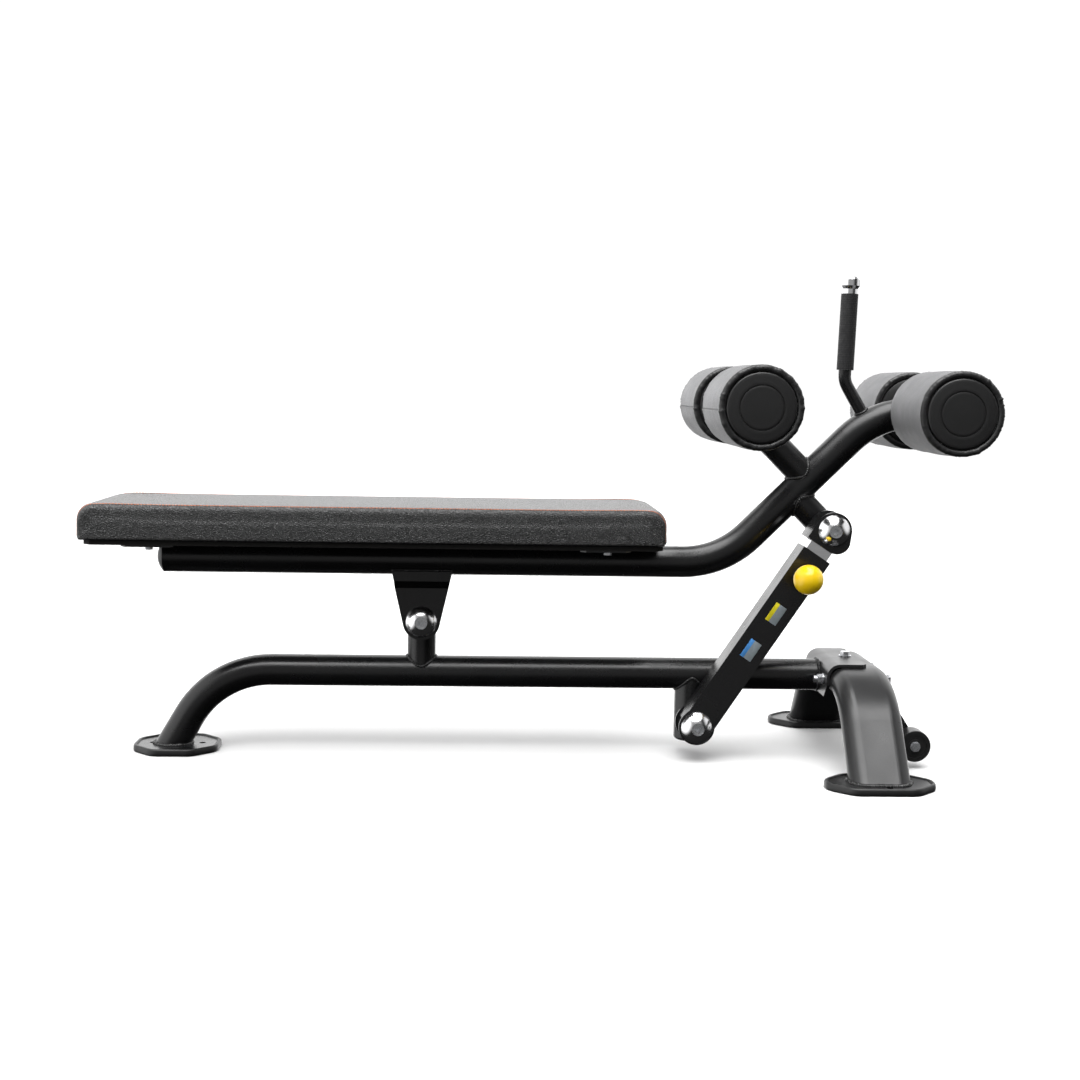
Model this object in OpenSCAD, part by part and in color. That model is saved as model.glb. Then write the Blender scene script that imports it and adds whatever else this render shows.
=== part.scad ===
// Adjustable sit-up bench. Lengths are in millimetres and angles in degrees.
// +X runs from the head end to the leg rollers, +Z is up, and -Y is the side of the pull pin.
// The origin is on the floor under the middle of the bench. A two-number point is [X, Z].

/* [Base frame] */
// Outer diameter of the two long beams
beam_d = 60; // [58:0.5:62]
// Wall thickness of the beams
beam_wall = 3; // [2:0.5:4]
// Height of the base beam's axis above the floor
base_z = 154; // [152:0.5:156]
// Bend radius of the beams' axes
bend_r = 180; // [160:5:190]
// Where the base beam's straight axis would meet its sloping front leg
base_corner_x = -592.9; // [-600:1:-585]
// Slope of the base beam's front leg below the horizontal
front_leg_angle = 60; // [55:1:65]
// Where the base beam ends, at the saddle plate
base_end_x = 556; // [550:0.5:560]
// Diameter of the welded stub and arm tubes
arm_d = 54; // [50:1:56]

/* [Rear arch] */
// Width of the flat-oval arch tube along the bench
arch_w = 110; // [104:1:116]
// Thickness of the flat-oval arch tube
arch_t = 55; // [50:1:56]
// Wall thickness of the arch tube
arch_wall = 3; // [2:0.5:4]
// Middle of the arch tube along the bench
arch_x = 616.5; // [612:0.5:622]
// Height of the arch tube's axis at the middle
arch_z = 157; // [155:0.5:158]
// Half length of the arch's straight middle
arch_flat = 77; // [70:1:84]
// Bend radius of the arch's shoulders
arch_r = 160; // [150:1:170]
// How far each shoulder turns down
arch_turn = 52; // [48:1:56]

/* [Feet] */
// Thickness of a rubber boot under its plate
boot_floor = 5; // [3:0.5:6]
// Thickness of a foot plate
foot_plate_t = 6; // [5:0.5:8]
// Height of a boot's rim
boot_rim = 13.7; // [13:0.1:15]
// Middle of the front foot along the bench
front_foot_x = -667.3; // [-672:0.5:-662]
// Length and width of the front boot
front_boot = [160, 146];
// Length and width of a rear boot
rear_boot = [197, 118];
// Distance of a rear foot's middle from the bench's middle plane
rear_foot_y = 273.8; // [268:0.5:278]
// Middle of the rear feet along the bench
rear_foot_x = 616.2; // [612:0.5:620]
// Diameter of the anchor holes
anchor_d = 12; // [10:1:14]

/* [Tilting frame] */
// Front pivot of the tilting frame, [X, Z]
pivot_a = [-204.4, 254.4];
// Height of the bench beam's axis
bench_z = 369.5; // [366:0.5:372]
// Where the bench beam ends at the head end
bench_start_x = -690; // [-700:1:-680]
// Corner where the bench beam's axis turns up, [X, Z]
bench_corner_1 = [365.3, 369.5];
// Corner where the bench beam's axis levels out again, [X, Z]
bench_corner_2 = [645.3, 649.5];
// Slope of the bench beam's last stretch
tail_angle = 8; // [4:0.5:12]
// Length of the bench beam's last stretch past its corner
tail_len = 120; // [115:1:125]
// Upper pivot of the length-adjusting post, [X, Z]
pivot_b = [560.7, 440.5];
// Lower pivot of the length-adjusting post, [X, Z]
pivot_c = [314.1, 67.5];
// How far the frame tilts up from level
tilt_range = 20; // [15:1:20]

/* [Adjusting post] */
// Middle plane of the post, beside the two beams
post_y = -62; // [-64:0.5:-61]
// Outer size of the square sleeve
sleeve_w = 59; // [58:0.5:60]
// Wall thickness of the sleeve
sleeve_wall = 4; // [3:0.5:4]
// Distance from the lower pivot to the sleeve's open end
sleeve_top = 393; // [390:1:396]
// Outer size of the square inner bar
bar_w = 46; // [45:0.5:46]
// Wall thickness of the inner bar
bar_wall = 3; // [2:0.5:4]
// Distance from the lower pivot to the inner bar's end at rest
bar_start = 40; // [38:1:60]
// Distance from the lower pivot to the pull pin
pin_s = 345; // [340:1:348]
// Number of stops, one hole each
stops = 7; // [5:1:7]
// Diameter of the pull pin's nose
pin_d = 12; // [10:0.5:12]
// Diameter of the pull pin's ball knob
knob_d = 55; // [50:1:58]

/* [Rollers] */
// Diameter of a leg roller
roller_d = 149.8; // [140:0.2:149.8]
// Distance of a roller's inner end from the middle plane
roller_in = 58; // [52:1:64]
// Distance of a roller's outer end from the middle plane
roller_out = 266.4; // [255:0.2:270]
// Axis of the knee rollers, [X, Z]
knee = [388.2, 668.4];
// Axis of the ankle rollers, [X, Z]
ankle = [740.6, 662.9];
// Diameter of the roller axles
axle_d = 25; // [22:0.5:26]

/* [Pad and handle] */
// Ends of the back pad along the bench
pad_x = [-815.5, 244];
// Width of the back pad
pad_w = 300; // [280:2:310]
// Heights of the back pad's underside and crown
pad_z = [411.5, 485.5];
// Radius of the pad's end corners
pad_corner = 35; // [25:1:36]
// Thickness of the board in the pad
board_t = 8; // [6:0.5:8]
// Thickness of the plates welded across the bench beam
cross_plate_t = 4; // [3:0.5:4]
// Top of the hand grip
handle_top = [596, 882];
// Diameter of the hand grip
grip_d = 32; // [28:1:34]
// Diameter of the handle's steel tube
handle_d = 24; // [20:1:25]

/* [Transport wheels] */
// Axis of the wheels, [X, Z]
wheel_axis = [718, 43];
// Diameter of a wheel
wheel_d = 59; // [55:0.5:60]
// Distances of a wheel's faces from the middle plane
wheel_y = [92, 130];

/* [Hidden] */
$fn = 64;

// Colours
paint = [0.09, 0.09, 0.095];
grey_paint = [0.24, 0.24, 0.25];
bright = [0.85, 0.85, 0.87];
rubber = [0.05, 0.05, 0.05];
vinyl = [0.2, 0.2, 0.2];
leather = [0.11, 0.11, 0.11];
plastic = [0.07, 0.07, 0.07];
yellow = [1, 0.82, 0];
bronze = [0.7, 0.5, 0.25];
board_brown = [0.45, 0.33, 0.2];

// Radii and levels that many parts share
beam_r = beam_d / 2;
arm_r = arm_d / 2;
foot_top = boot_floor + foot_plate_t;
side = [-1, 1];
big = 400;
grip_gap = 0.1;
running_gap = 0.05;
lap = 1;
step = 0.03;

// Pivot hardware
axle_r = 10;
small_axle_r = 8;
bush_r = 15;
housing_r = 30;
housing_half = 32;
cap_r = 29.5;
cap_rim = 3;
cap_h = 18.5;
cap_eye_r = 12;
head_r = 11.7;
head_h = 15.5;
socket_af_r = 5.8;
socket_depth = 7;

// Beam paths
slope_down = [-cos(front_leg_angle), -sin(front_leg_angle)];
base_corner = [base_corner_x, base_z];
base_path = [base_corner + slope_down * (base_z / sin(front_leg_angle) + 20), base_corner,
    [base_end_x, base_z]];
bench_end = bench_corner_2 + tail_len * [cos(tail_angle), sin(tail_angle)];
bench_path = [[bench_start_x, bench_z], bench_corner_1, bench_corner_2, bench_end];

// Post geometry: the post's own X is the lower right side and its own Z runs from C to B
post_rest = norm(pivot_b - pivot_c);
post_angle = heading(pivot_b - pivot_c);
b_at_limit = frame_at(tilt_range);
post_travel = norm(b_at_limit - pivot_c) - post_rest;
post_swing = heading(b_at_limit - pivot_c) - post_angle;
hole_pitch = post_travel / (stops - 1);
// The tree of joints keeps constant ratios, so between the limits the bar's eye runs beside B
eye_drift = max([for (t = [0 : 0.5 : tilt_range])
    norm(frame_at(t) - pivot_c
        - (post_rest + post_travel * t / tilt_range) * polar(post_angle + post_swing * t / tilt_range))]);
eye_bore_r = small_axle_r + eye_drift + 0.6;
eye_r = eye_bore_r + 5.5;
sleeve_half = sleeve_w / 2;
sleeve_in = sleeve_half - sleeve_wall;
bar_half = bar_w / 2;
sleeve_near = post_y - sleeve_half;
sleeve_far = post_y + sleeve_half;
ear_r = 33.7;
pivot_tube_r = 28;
cheek_t = 6;
cheek_gap = 24.5;
cheek_near = post_y - cheek_gap - cheek_t;
cheek_far = post_y + cheek_gap + cheek_t;

// Pull pin, along -Y from the sleeve's near face
pin_r = pin_d / 2;
nose_gap = 0.4;
nose_y = post_y - bar_half - nose_gap;
barrel_r = 13.2;
barrel_len = 28;
barrel_end = sleeve_near - barrel_len;
spring_bore_r = 9.5;
collar_r = 8.8;
collar_y = sleeve_near - 9;
collar_t = 3;
cavity_y = [sleeve_near - 3, barrel_end + 2.5];
knob_r = knob_d / 2;
knob_y = barrel_end - knob_r + 1;
stem_r = 5;
pin_at = pivot_c + pin_s * polar(post_angle);

// Rollers
roller_r = roller_d / 2;
core_in_r = axle_d / 2 + running_gap;
core_r = 17;
roller_cap_r = 62;
roller_cap_t = 6;
axle_end = roller_out - roller_cap_t - 2;

// Pad supports
plate_z = bench_z + beam_r;
board_z = plate_z + cross_plate_t;
pad_plate_half = 137;
rear_plate_x = [87, 180];
front_plate_x = [-744, -650];
pad_bolt_y = 110;

function heading(v) = atan2(v.y, v.x);
function polar(a) = [cos(a), sin(a)];
function turned(p, c, a) = c + [[cos(a), -sin(a)], [sin(a), cos(a)]] * (p - c);
// Place of the upper pivot when the frame is tilted by t
function frame_at(t) = turned(pivot_b, pivot_a, t);
function bend_angle(path, i) =
    let (u = path[i] - path[i - 1], v = path[i + 1] - path[i]) atan2(u.x * v.y - u.y * v.x, u * v);
function trim(path, i, r) =
    i == 0 || i == len(path) - 1 ? 0 : r * tan(abs(bend_angle(path, i)) / 2);
// Where a line from p touches a circle, on its left or right side
function touch(p, c, r, s) = c + r * polar(heading(p - c) + s * acos(r / norm(p - c)));

module ring(r, wall) {
    difference() {
        circle(r);
        circle(r - wall);
    }
}

// Flat oval, w along X and t along Y
module oval(w, t) {
    square([w - t, t], center = true);
    for (s = side) translate([s * (w - t) / 2, 0]) circle(t / 2);
}

// Places +Z along the line from a to b in the X-Z plane
module along(a, b) {
    translate([a.x, 0, a.y]) rotate([0, 90 - heading(b - a), 0]) children();
}

module rod(a, b, r) {
    along(a, b) cylinder(r = r, h = norm(b - a));
}

// Cylinder parallel to Y through the point c
module cross_rod(c, y0, y1, r) {
    translate([c.x, y1, c.y]) rotate([90, 0, 0]) cylinder(r = r, h = y1 - y0);
}

// Same, for a point in the post's own frame
module post_rod(p, y0, y1, r) {
    translate([p.x, y1, p.y]) rotate([90, 0, 0]) cylinder(r = r, h = y1 - y0);
}

// A slab parallel to the X-Z plane whose outline is given in X and Z
module slab(y0, y1) {
    translate([0, y1, 0]) rotate([90, 0, 0]) linear_extrude(y1 - y0) children();
}

// The post's own frame, with its origin at the lower pivot
module on_post() {
    translate([pivot_c.x, 0, pivot_c.y]) rotate([0, 90 - post_angle, 0]) children();
}

// A tube bent along a path in the X-Z plane, with the same radius at each corner.
// The straight lengths reach lap past each bend's ends, round an elbow that is slim slimmer.
module bent_tube(path, r_bend, r, wall, slim = step) {
    last = len(path) - 1;
    for (i = [0 : last - 1]) {
        u = (path[i + 1] - path[i]) / norm(path[i + 1] - path[i]);
        a = path[i] + u * (trim(path, i, r_bend) - (i > 0 ? lap : 0));
        b = path[i + 1] - u * (trim(path, i + 1, r_bend) - (i + 1 < last ? lap : 0));
        along(a, b) linear_extrude(norm(b - a)) ring(r, wall);
    }
    for (i = [1 : len(path) - 2]) {
        u = (path[i] - path[i - 1]) / norm(path[i] - path[i - 1]);
        turn = bend_angle(path, i);
        hand = sign(turn);
        centre = path[i] - u * trim(path, i, r_bend) + hand * r_bend * [-u.y, u.x];
        start = heading(-hand * [-u.y, u.x]) + min(turn, 0);
        translate([centre.x, 0, centre.y]) rotate([90, 0, 0]) rotate(start)
            rotate_extrude(angle = abs(turn)) translate([r_bend, 0]) rotate(hand > 0 ? 0 : 180)
                ring(r - slim, wall - 2 * slim);
    }
}

// Octagon: a rectangle with its corners cut by c
module cut_rectangle(size, c) {
    x = size.x / 2;
    y = size.y / 2;
    polygon([[x, y - c], [x - c, y], [c - x, y], [-x, y - c], [-x, c - y], [c - x, -y], [x - c, -y], [x, c - y]]);
}

// Rounded octagon, built from a circle in each corner
module boot_outline(size, c, r) {
    x = size.x / 2 - r;
    y = size.y / 2 - r;
    hull() for (sx = side, sy = side) {
        translate([sx * x, sy * (y - c)]) circle(r, $fn = 32);
        translate([sx * (x - c), sy * y]) circle(r, $fn = 32);
    }
}

// Domed ring that covers a pivot bolt's head, rising along +Z
module pivot_cap() {
    low = ((pow(cap_eye_r, 2) + pow(cap_h, 2)) - (pow(cap_r, 2) + pow(cap_rim, 2))) / (2 * (cap_h - cap_rim));
    dome_r = norm([cap_r, cap_rim - low]);
    difference() {
        intersection() {
            cylinder(r = cap_r, h = cap_h);
            translate([0, 0, low]) sphere(dome_r);
        }
        translate([0, 0, -1]) cylinder(r = cap_eye_r, h = cap_h + 2);
    }
}

// Places +Z along +Y or -Y at the point c and the distance y
module facing(c, y) {
    translate([c.x, y, c.y]) rotate([y < 0 ? 90 : -90, 0, 0]) children();
}

// Head of a pivot bolt with a hexagon socket, rising along +Z
module socket_head() {
    difference() {
        cylinder(r = head_r, h = head_h);
        translate([0, 0, head_h - socket_depth]) cylinder(r = socket_af_r, h = socket_depth + 1, $fn = 6);
    }
}

// Hexagon bolt head on a washer, rising along +Z
module hex_head(r_head, h_head, r_washer, t_washer) {
    cylinder(r = r_washer, h = t_washer);
    cylinder(r = r_head, h = t_washer + h_head, $fn = 6);
}

// Base frame

module base_beam() {
    color(paint) difference() {
        bent_tube(base_path, bend_r, beam_r, beam_wall, 0.12);
        translate([front_foot_x - big / 2, -big / 2, foot_top - big]) cube([big, big, big]);
    }
}

plate_cut = 36;
plate_gap = 0.6;

module foot_plate(size, hole_at) {
    difference() {
        translate([0, 0, boot_floor]) linear_extrude(foot_plate_t) cut_rectangle(size, plate_cut);
        for (p = hole_at) translate([p.x, p.y, 0]) cylinder(d = anchor_d, h = 2 * foot_top);
    }
}

module foot_boot(size, plate, hole_at) {
    difference() {
        linear_extrude(boot_rim) boot_outline(size, 22, 34);
        translate([0, 0, boot_floor]) linear_extrude(boot_rim)
            cut_rectangle(plate + [plate_gap, plate_gap], plate_cut);
        for (p = hole_at) translate([p.x, p.y, -1]) cylinder(d = anchor_d + 4, h = 2 * foot_top);
    }
}

front_plate = front_boot - [16, 16];
rear_plate = rear_boot - [20, 16];
front_holes = [[-47, 0], [47, 0]];
rear_holes = [[7.8, 38.2]];

module front_foot_plate() {
    color(grey_paint) translate([front_foot_x, 0, 0]) foot_plate(front_plate, front_holes);
}

module front_boot() {
    color(rubber) translate([front_foot_x, 0, 0]) foot_boot(front_boot, front_plate, front_holes);
}

module rear_foot_plates() {
    color(grey_paint) for (s = [0, 1]) mirror([0, s, 0]) translate([rear_foot_x, rear_foot_y, 0])
        foot_plate(rear_plate, rear_holes);
}

module rear_boots() {
    color(rubber) for (s = [0, 1]) mirror([0, s, 0]) translate([rear_foot_x, rear_foot_y, 0])
        foot_boot(rear_boot, rear_plate, rear_holes);
}

// The arch tube; hollow = false gives its outer shape alone
module arch_shape(hollow) {
    end_y = arch_flat + arch_r * sin(arch_turn);
    end_z = arch_z - arch_r * (1 - cos(arch_turn));
    translate([arch_x, arch_flat + lap, arch_z]) rotate([90, 0, 0]) linear_extrude(2 * (arch_flat + lap))
        arch_section(hollow, 0);
    for (s = [0, 1]) mirror([0, s, 0]) {
        translate([arch_x, arch_flat, arch_z - arch_r]) rotate([0, 90, 0]) rotate(180 - arch_turn)
            rotate_extrude(angle = arch_turn) translate([arch_r, 0]) rotate(90) arch_section(hollow, step);
        translate([arch_x, end_y, end_z]) rotate([-90 - arch_turn, 0, 0]) translate([0, 0, -lap])
            linear_extrude(2 * end_z) arch_section(hollow, 0);
    }
}

// Section of the arch tube, slimmer by less all round
module arch_section(hollow, less) {
    inner = 2 * (arch_wall - less);
    difference() {
        oval(arch_w - 2 * less, arch_t - 2 * less);
        if (hollow) oval(arch_w - inner, arch_t - inner);
    }
}

saddle_bolt_y = 63;
saddle_top_bolt_x = 611;
saddle_t = 5.5;
saddle_z = arch_z + arch_t / 2;
saddle_half = 96;
saddle_end_x = 631;
saddle_bend_r = 25;
saddle_low_z = 125;
bolt_r = 6;
bolt_hole_r = 6.5;

module saddle_holes(r) {
    for (s = side) translate([0, s * saddle_bolt_y, arch_z]) rotate([0, 90, 0])
        translate([0, 0, base_end_x - 20]) cylinder(r = r, h = 180);
    translate([saddle_top_bolt_x, 0, arch_z]) cylinder(r = r, h = 60);
}

module rear_arch() {
    color(grey_paint) difference() {
        arch_shape(true);
        translate([arch_x - big / 2, -big, foot_top - 2 * big]) cube([big, 2 * big, 2 * big]);
        saddle_holes(bolt_hole_r);
    }
}

// Folded plate: a front flange, a quarter bend and a top plate with clipped corners
module saddle_plate() {
    corner = [base_end_x + saddle_bend_r, saddle_z + saddle_t - saddle_bend_r];
    color(grey_paint) difference() {
        slab(-saddle_half, saddle_half) {
            translate([base_end_x, saddle_low_z]) square([saddle_t, corner.y - saddle_low_z]);
            translate([corner.x, saddle_z]) square([saddle_end_x - corner.x, saddle_t]);
            intersection() {
                translate(corner) ring(saddle_bend_r, saddle_t);
                translate([base_end_x, corner.y]) square(saddle_bend_r);
            }
        }
        for (s = side) translate([saddle_end_x, s * saddle_half, saddle_z - 1]) rotate(45)
            cube([11, 11, 20], center = true);
        for (s = side) translate([base_end_x, s * saddle_half, saddle_low_z]) rotate([45, 0, 0])
            cube([20, 35, 35], center = true);
        saddle_holes(bolt_hole_r);
    }
}

module saddle_bolts() {
    rear_x = arch_x + arch_w / 2;
    color(bright) {
        for (s = side) {
            translate([base_end_x, s * saddle_bolt_y, arch_z]) rotate([0, -90, 0]) {
                hex_head(9.2, 10, 10.5, 2);
                cylinder(r = bolt_r, h = 18);
            }
            translate([rear_x, s * saddle_bolt_y, arch_z]) rotate([0, 90, 0]) hex_head(9.2, 10, 12, 2);
            translate([base_end_x, s * saddle_bolt_y, arch_z]) rotate([0, 90, 0])
                cylinder(r = bolt_r, h = rear_x - base_end_x);
        }
        translate([saddle_top_bolt_x, 0, saddle_z + saddle_t]) hex_head(9.2, 7.5, 12, 2);
        translate([saddle_top_bolt_x, 0, saddle_z - 18]) cylinder(r = bolt_r, h = 18 + saddle_t);
    }
}

// Vertical tube with a cross housing for the front pivot
module front_pivot_stub() {
    color(paint) difference() {
        union() {
            along([pivot_a.x, base_z], pivot_a) difference() {
                cylinder(r = arm_r, h = pivot_a.y - base_z);
                translate([0, 0, -1]) cylinder(r = arm_r - 3, h = pivot_a.y - base_z - housing_r + 4);
            }
            cross_rod(pivot_a, -housing_half, housing_half, housing_r);
        }
        cross_rod(pivot_a, -big, big, bush_r);
        rod([base_corner_x, base_z], [base_end_x, base_z], beam_r);
    }
}

module flanged_bush(c, y_in, y_out, r_flange, t_flange) {
    y0 = min(y_in, y_out);
    y1 = max(y_in, y_out);
    s = sign(y_out - y_in);
    difference() {
        union() {
            cross_rod(c, y0, y1, bush_r);
            cross_rod(c, min(y_out, y_out + s * t_flange), max(y_out, y_out + s * t_flange), r_flange);
        }
        cross_rod(c, y0 - 5, y1 + 5, axle_r + running_gap);
    }
}

module front_bushes() {
    color(bronze) for (s = side) flanged_bush(pivot_a, s * 12, s * housing_half, 21, 0.8);
}

stub_x = pivot_c.x - 2;
stub_low_z = 26;
boss_y = -32;
stub_edge = 7;

// Closed vertical tube under the beam, with the boss that holds the lower pivot bolt
module post_stub() {
    color(paint) difference() {
        union() {
            translate([stub_x, 0, stub_low_z]) rotate_extrude() difference() {
                union() {
                    translate([0, stub_edge]) square([beam_r, base_z - stub_low_z - stub_edge]);
                    square([beam_r - stub_edge, stub_edge + 1]);
                    translate([beam_r - stub_edge, stub_edge]) circle(stub_edge);
                }
                translate([0, 4]) square([beam_r - 4, big]);
                translate([-big, -big]) square([big, 2 * big]);
            }
            cross_rod(pivot_c, boss_y, 18, 20);
        }
        cross_rod(pivot_c, -big, big, axle_r);
        rod([base_corner_x, base_z], [base_end_x, base_z], beam_r);
    }
}

module lower_pivot_bolt() {
    cap_y = sleeve_near - 0.5;
    color(bright) {
        cross_rod(pivot_c, cap_y, 18, axle_r);
        facing(pivot_c, cap_y) socket_head();
    }
}

module lower_pivot_cap() {
    color(bright) facing(pivot_c, sleeve_near - 0.5) pivot_cap();
}

wheel_bore_r = bolt_r + running_gap;
bracket_y = [84, 90];

module wheel_brackets() {
    top_x = arch_x + 25;
    foot_r = 13;
    color(paint) for (s = side) difference() {
        slab(min(s * bracket_y[0], s * bracket_y[1]), max(s * bracket_y[0], s * bracket_y[1])) {
            translate(wheel_axis) circle(foot_r);
            polygon([touch([top_x + 18, arch_z], wheel_axis, foot_r, -1), [top_x + 18, arch_z],
                [top_x - 18, arch_z], touch([top_x - 18, arch_z], wheel_axis, foot_r, 1), wheel_axis]);
        }
        arch_shape(false);
        cross_rod(wheel_axis, -big, big, bolt_r);
    }
}

module wheel_axle_bolts() {
    color(bright) for (s = [0, 1]) mirror([0, s, 0]) {
        cross_rod(wheel_axis, bracket_y[0] - 9, wheel_y[1] + 0.4, bolt_r);
        facing(wheel_axis, wheel_y[1] + 0.4) hex_head(8.5, 5.5, 9.5, 1.5);
        translate([wheel_axis.x, bracket_y[0], wheel_axis.y]) rotate([90, 0, 0])
            cylinder(r = 9.2, h = 8, $fn = 6);
    }
}

// Solid wheel with rounded tread edges and dished faces
module wheel() {
    r = wheel_d / 2;
    w = wheel_y[1] - wheel_y[0];
    edge = 1.5;
    color(rubber) translate([wheel_axis.x, wheel_y[0], wheel_axis.y]) rotate([-90, 0, 0])
        rotate_extrude() difference() {
            union() {
                square([r - edge, w]);
                translate([0, edge]) square([r, w - 2 * edge]);
                for (z = [edge, w - edge]) translate([r - edge, z]) circle(edge);
            }
            translate([0, -w]) square([wheel_bore_r, 3 * w]);
            translate([13, w - 2]) square([9, 3]);
            translate([13, -1]) square([9, 3]);
        }
}

module wheel_near() {
    mirror([0, 1, 0]) wheel();
}

module wheel_far() {
    wheel();
}

// Tilting frame

module bench_beam() {
    color(paint) difference() {
        bent_tube(bench_path, bend_r, beam_r, beam_wall);
        cross_rod(ankle, -big, big, axle_d / 2);
    }
}

head_dome_h = 12.8;
tail_dome_h = 4.5;
plug_len = 10;

// Domed plug in each end of the bench beam
module beam_end_caps() {
    color(plastic) {
        beam_plug(bench_path[0], [-1, 0], head_dome_h);
        beam_plug(bench_end, polar(tail_angle), tail_dome_h);
    }
}

// Plug at p whose dome rises by h along the direction d
module beam_plug(p, d, h) {
    dome_r = (pow(beam_r, 2) + pow(h, 2)) / (2 * h);
    along(p, p + d) {
        intersection() {
            cylinder(r = beam_r, h = h);
            translate([0, 0, h - dome_r]) sphere(dome_r);
        }
        translate([0, 0, -plug_len]) cylinder(r = beam_r - beam_wall, h = plug_len);
    }
}

hub_r = 24;
hub_half = 40;

// Arm from the bench beam up to a cross hub on the knee rollers' axle
module knee_arm() {
    foot = knee + norm_to_beam(knee) * [1, -1] / sqrt(2);
    color(paint) difference() {
        union() {
            rod(knee, foot, arm_r);
            cross_rod(knee, -hub_half, hub_half, hub_r);
        }
        along(knee, foot) translate([0, 0, hub_r + 3]) cylinder(r = arm_r - 3, h = big);
        cross_rod(knee, -big, big, axle_d / 2);
        rod(bench_corner_1, bench_corner_2, beam_r);
    }
}

// Distance from p to the rising stretch of the bench beam
function norm_to_beam(p) =
    let (u = bench_corner_2 - bench_corner_1, v = p - bench_corner_1) abs(u.x * v.y - u.y * v.x) / norm(u);

// Arm from the bench beam down to the hub of the upper pivot
module post_arm() {
    foot = pivot_b - norm_to_beam(pivot_b) * [1, -1] / sqrt(2);
    color(paint) difference() {
        union() {
            rod(foot, pivot_b, arm_r);
            cross_rod(pivot_b, cheek_far, housing_r, housing_r);
        }
        along(pivot_b, foot) translate([0, 0, housing_r + 3]) cylinder(r = arm_r - 3, h = big);
        cross_rod(pivot_b, -big, big, small_axle_r);
        rod(bench_corner_1, bench_corner_2, beam_r);
    }
}

cheek_top_r = 34;
cheek_corner_r = 25;
cheek_corner = [16, -12];
cheek_left = -34;

// Outline of a clevis cheek in the post's own directions, measured from the upper pivot
module cheek_outline() {
    hull() {
        circle(cheek_top_r, $fn = 64);
        translate(cheek_corner) circle(cheek_corner_r, $fn = 48);
        translate([cheek_left, cheek_corner.y - cheek_corner_r]) square([20, 8]);
    }
}

// Two cheeks joined by a web on the beam's side of the inner bar
module post_clevis() {
    low = cheek_corner.y - cheek_corner_r;
    color(paint) on_post() translate([0, 0, post_rest]) difference() {
        union() {
            slab(cheek_near, cheek_near + cheek_t) cheek_outline();
            slab(cheek_far - cheek_t, cheek_far) cheek_outline();
            translate([cheek_left, cheek_near, low]) cube([cheek_t, cheek_far - cheek_near, -low + 6]);
        }
        post_rod([0, 0], -big, big, small_axle_r);
    }
}

lug_top_x = [-266.7, -142];
lug_top_z = bench_z;
lug_r = 35;
lug_t = 6;
lug_in = [17.5, 33];
lug_joggle_z = [318, 329];

// Cross-section of one lug: apart at the pivot, closer where it meets the beam
module lug_section() {
    low = pivot_a.y - lug_r - 1;
    polygon([
        [lug_in[1], low], [lug_in[1] + lug_t, low], [lug_in[1] + lug_t, lug_joggle_z[0]],
        [lug_in[0] + lug_t, lug_joggle_z[1]], [lug_in[0] + lug_t, lug_top_z],
        [lug_in[0], lug_top_z], [lug_in[0], lug_joggle_z[1]], [lug_in[1], lug_joggle_z[0]]
    ]);
}

// Outline of a lug: a trapezium that narrows to a round end
module lug_outline() {
    left = [lug_top_x[0], lug_top_z];
    right = [lug_top_x[1], lug_top_z];
    translate(pivot_a) circle(lug_r);
    polygon([left, touch(left, pivot_a, lug_r, 1), pivot_a, touch(right, pivot_a, lug_r, -1), right]);
}

module front_pivot_plates() {
    color(paint) for (s = [0, 1]) mirror([0, s, 0]) difference() {
        intersection() {
            slab(0, lug_in[1] + lug_t + 1) lug_outline();
            translate([pivot_a.x - big / 2, 0, 0]) rotate([90, 0, 90]) linear_extrude(big) lug_section();
        }
        cross_rod(pivot_a, -big, big, axle_r);
        rod([bench_start_x, bench_z], bench_corner_1, beam_r);
    }
}

module front_pivot_bolt() {
    face = lug_in[1] + lug_t;
    color(bright) {
        cross_rod(pivot_a, -face, face, axle_r);
        for (s = side) facing(pivot_a, s * face) socket_head();
    }
}

module front_pivot_caps() {
    color(bright) for (s = side) facing(pivot_a, s * (lug_in[1] + lug_t)) pivot_cap();
}

module upper_pivot_bolt() {
    color(bright) {
        cross_rod(pivot_b, cheek_near, housing_r, small_axle_r);
        facing(pivot_b, cheek_near) socket_head();
        facing(pivot_b, housing_r) socket_head();
    }
}

module upper_pivot_caps() {
    color(bright) {
        facing(pivot_b, cheek_near) pivot_cap();
        facing(pivot_b, housing_r) pivot_cap();
    }
}

// Pad and its supports

pad_bolt_x = [-697, 139];
pad_bolt_r = 4;

module pad_bolt_holes(r) {
    for (x = pad_bolt_x, s = side) translate([x, s * pad_bolt_y, plate_z - 1]) cylinder(r = r, h = 9);
}

module pad_cross_plates() {
    color(paint) difference() {
        for (x = [front_plate_x, rear_plate_x]) translate([(x[0] + x[1]) / 2, 0, plate_z])
            linear_extrude(cross_plate_t) cut_rectangle([x[1] - x[0], 2 * pad_plate_half], 10);
        pad_bolt_holes(pad_bolt_r);
    }
}

module pad_board() {
    inset = 6;
    size = [pad_x[1] - pad_x[0] - 2 * inset, pad_w - 2 * inset];
    color(board_brown) difference() {
        translate([(pad_x[0] + pad_x[1]) / 2, 0, board_z]) linear_extrude(board_t) cut_rectangle(size, 14);
        pad_bolt_holes(pad_bolt_r);
    }
}

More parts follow.
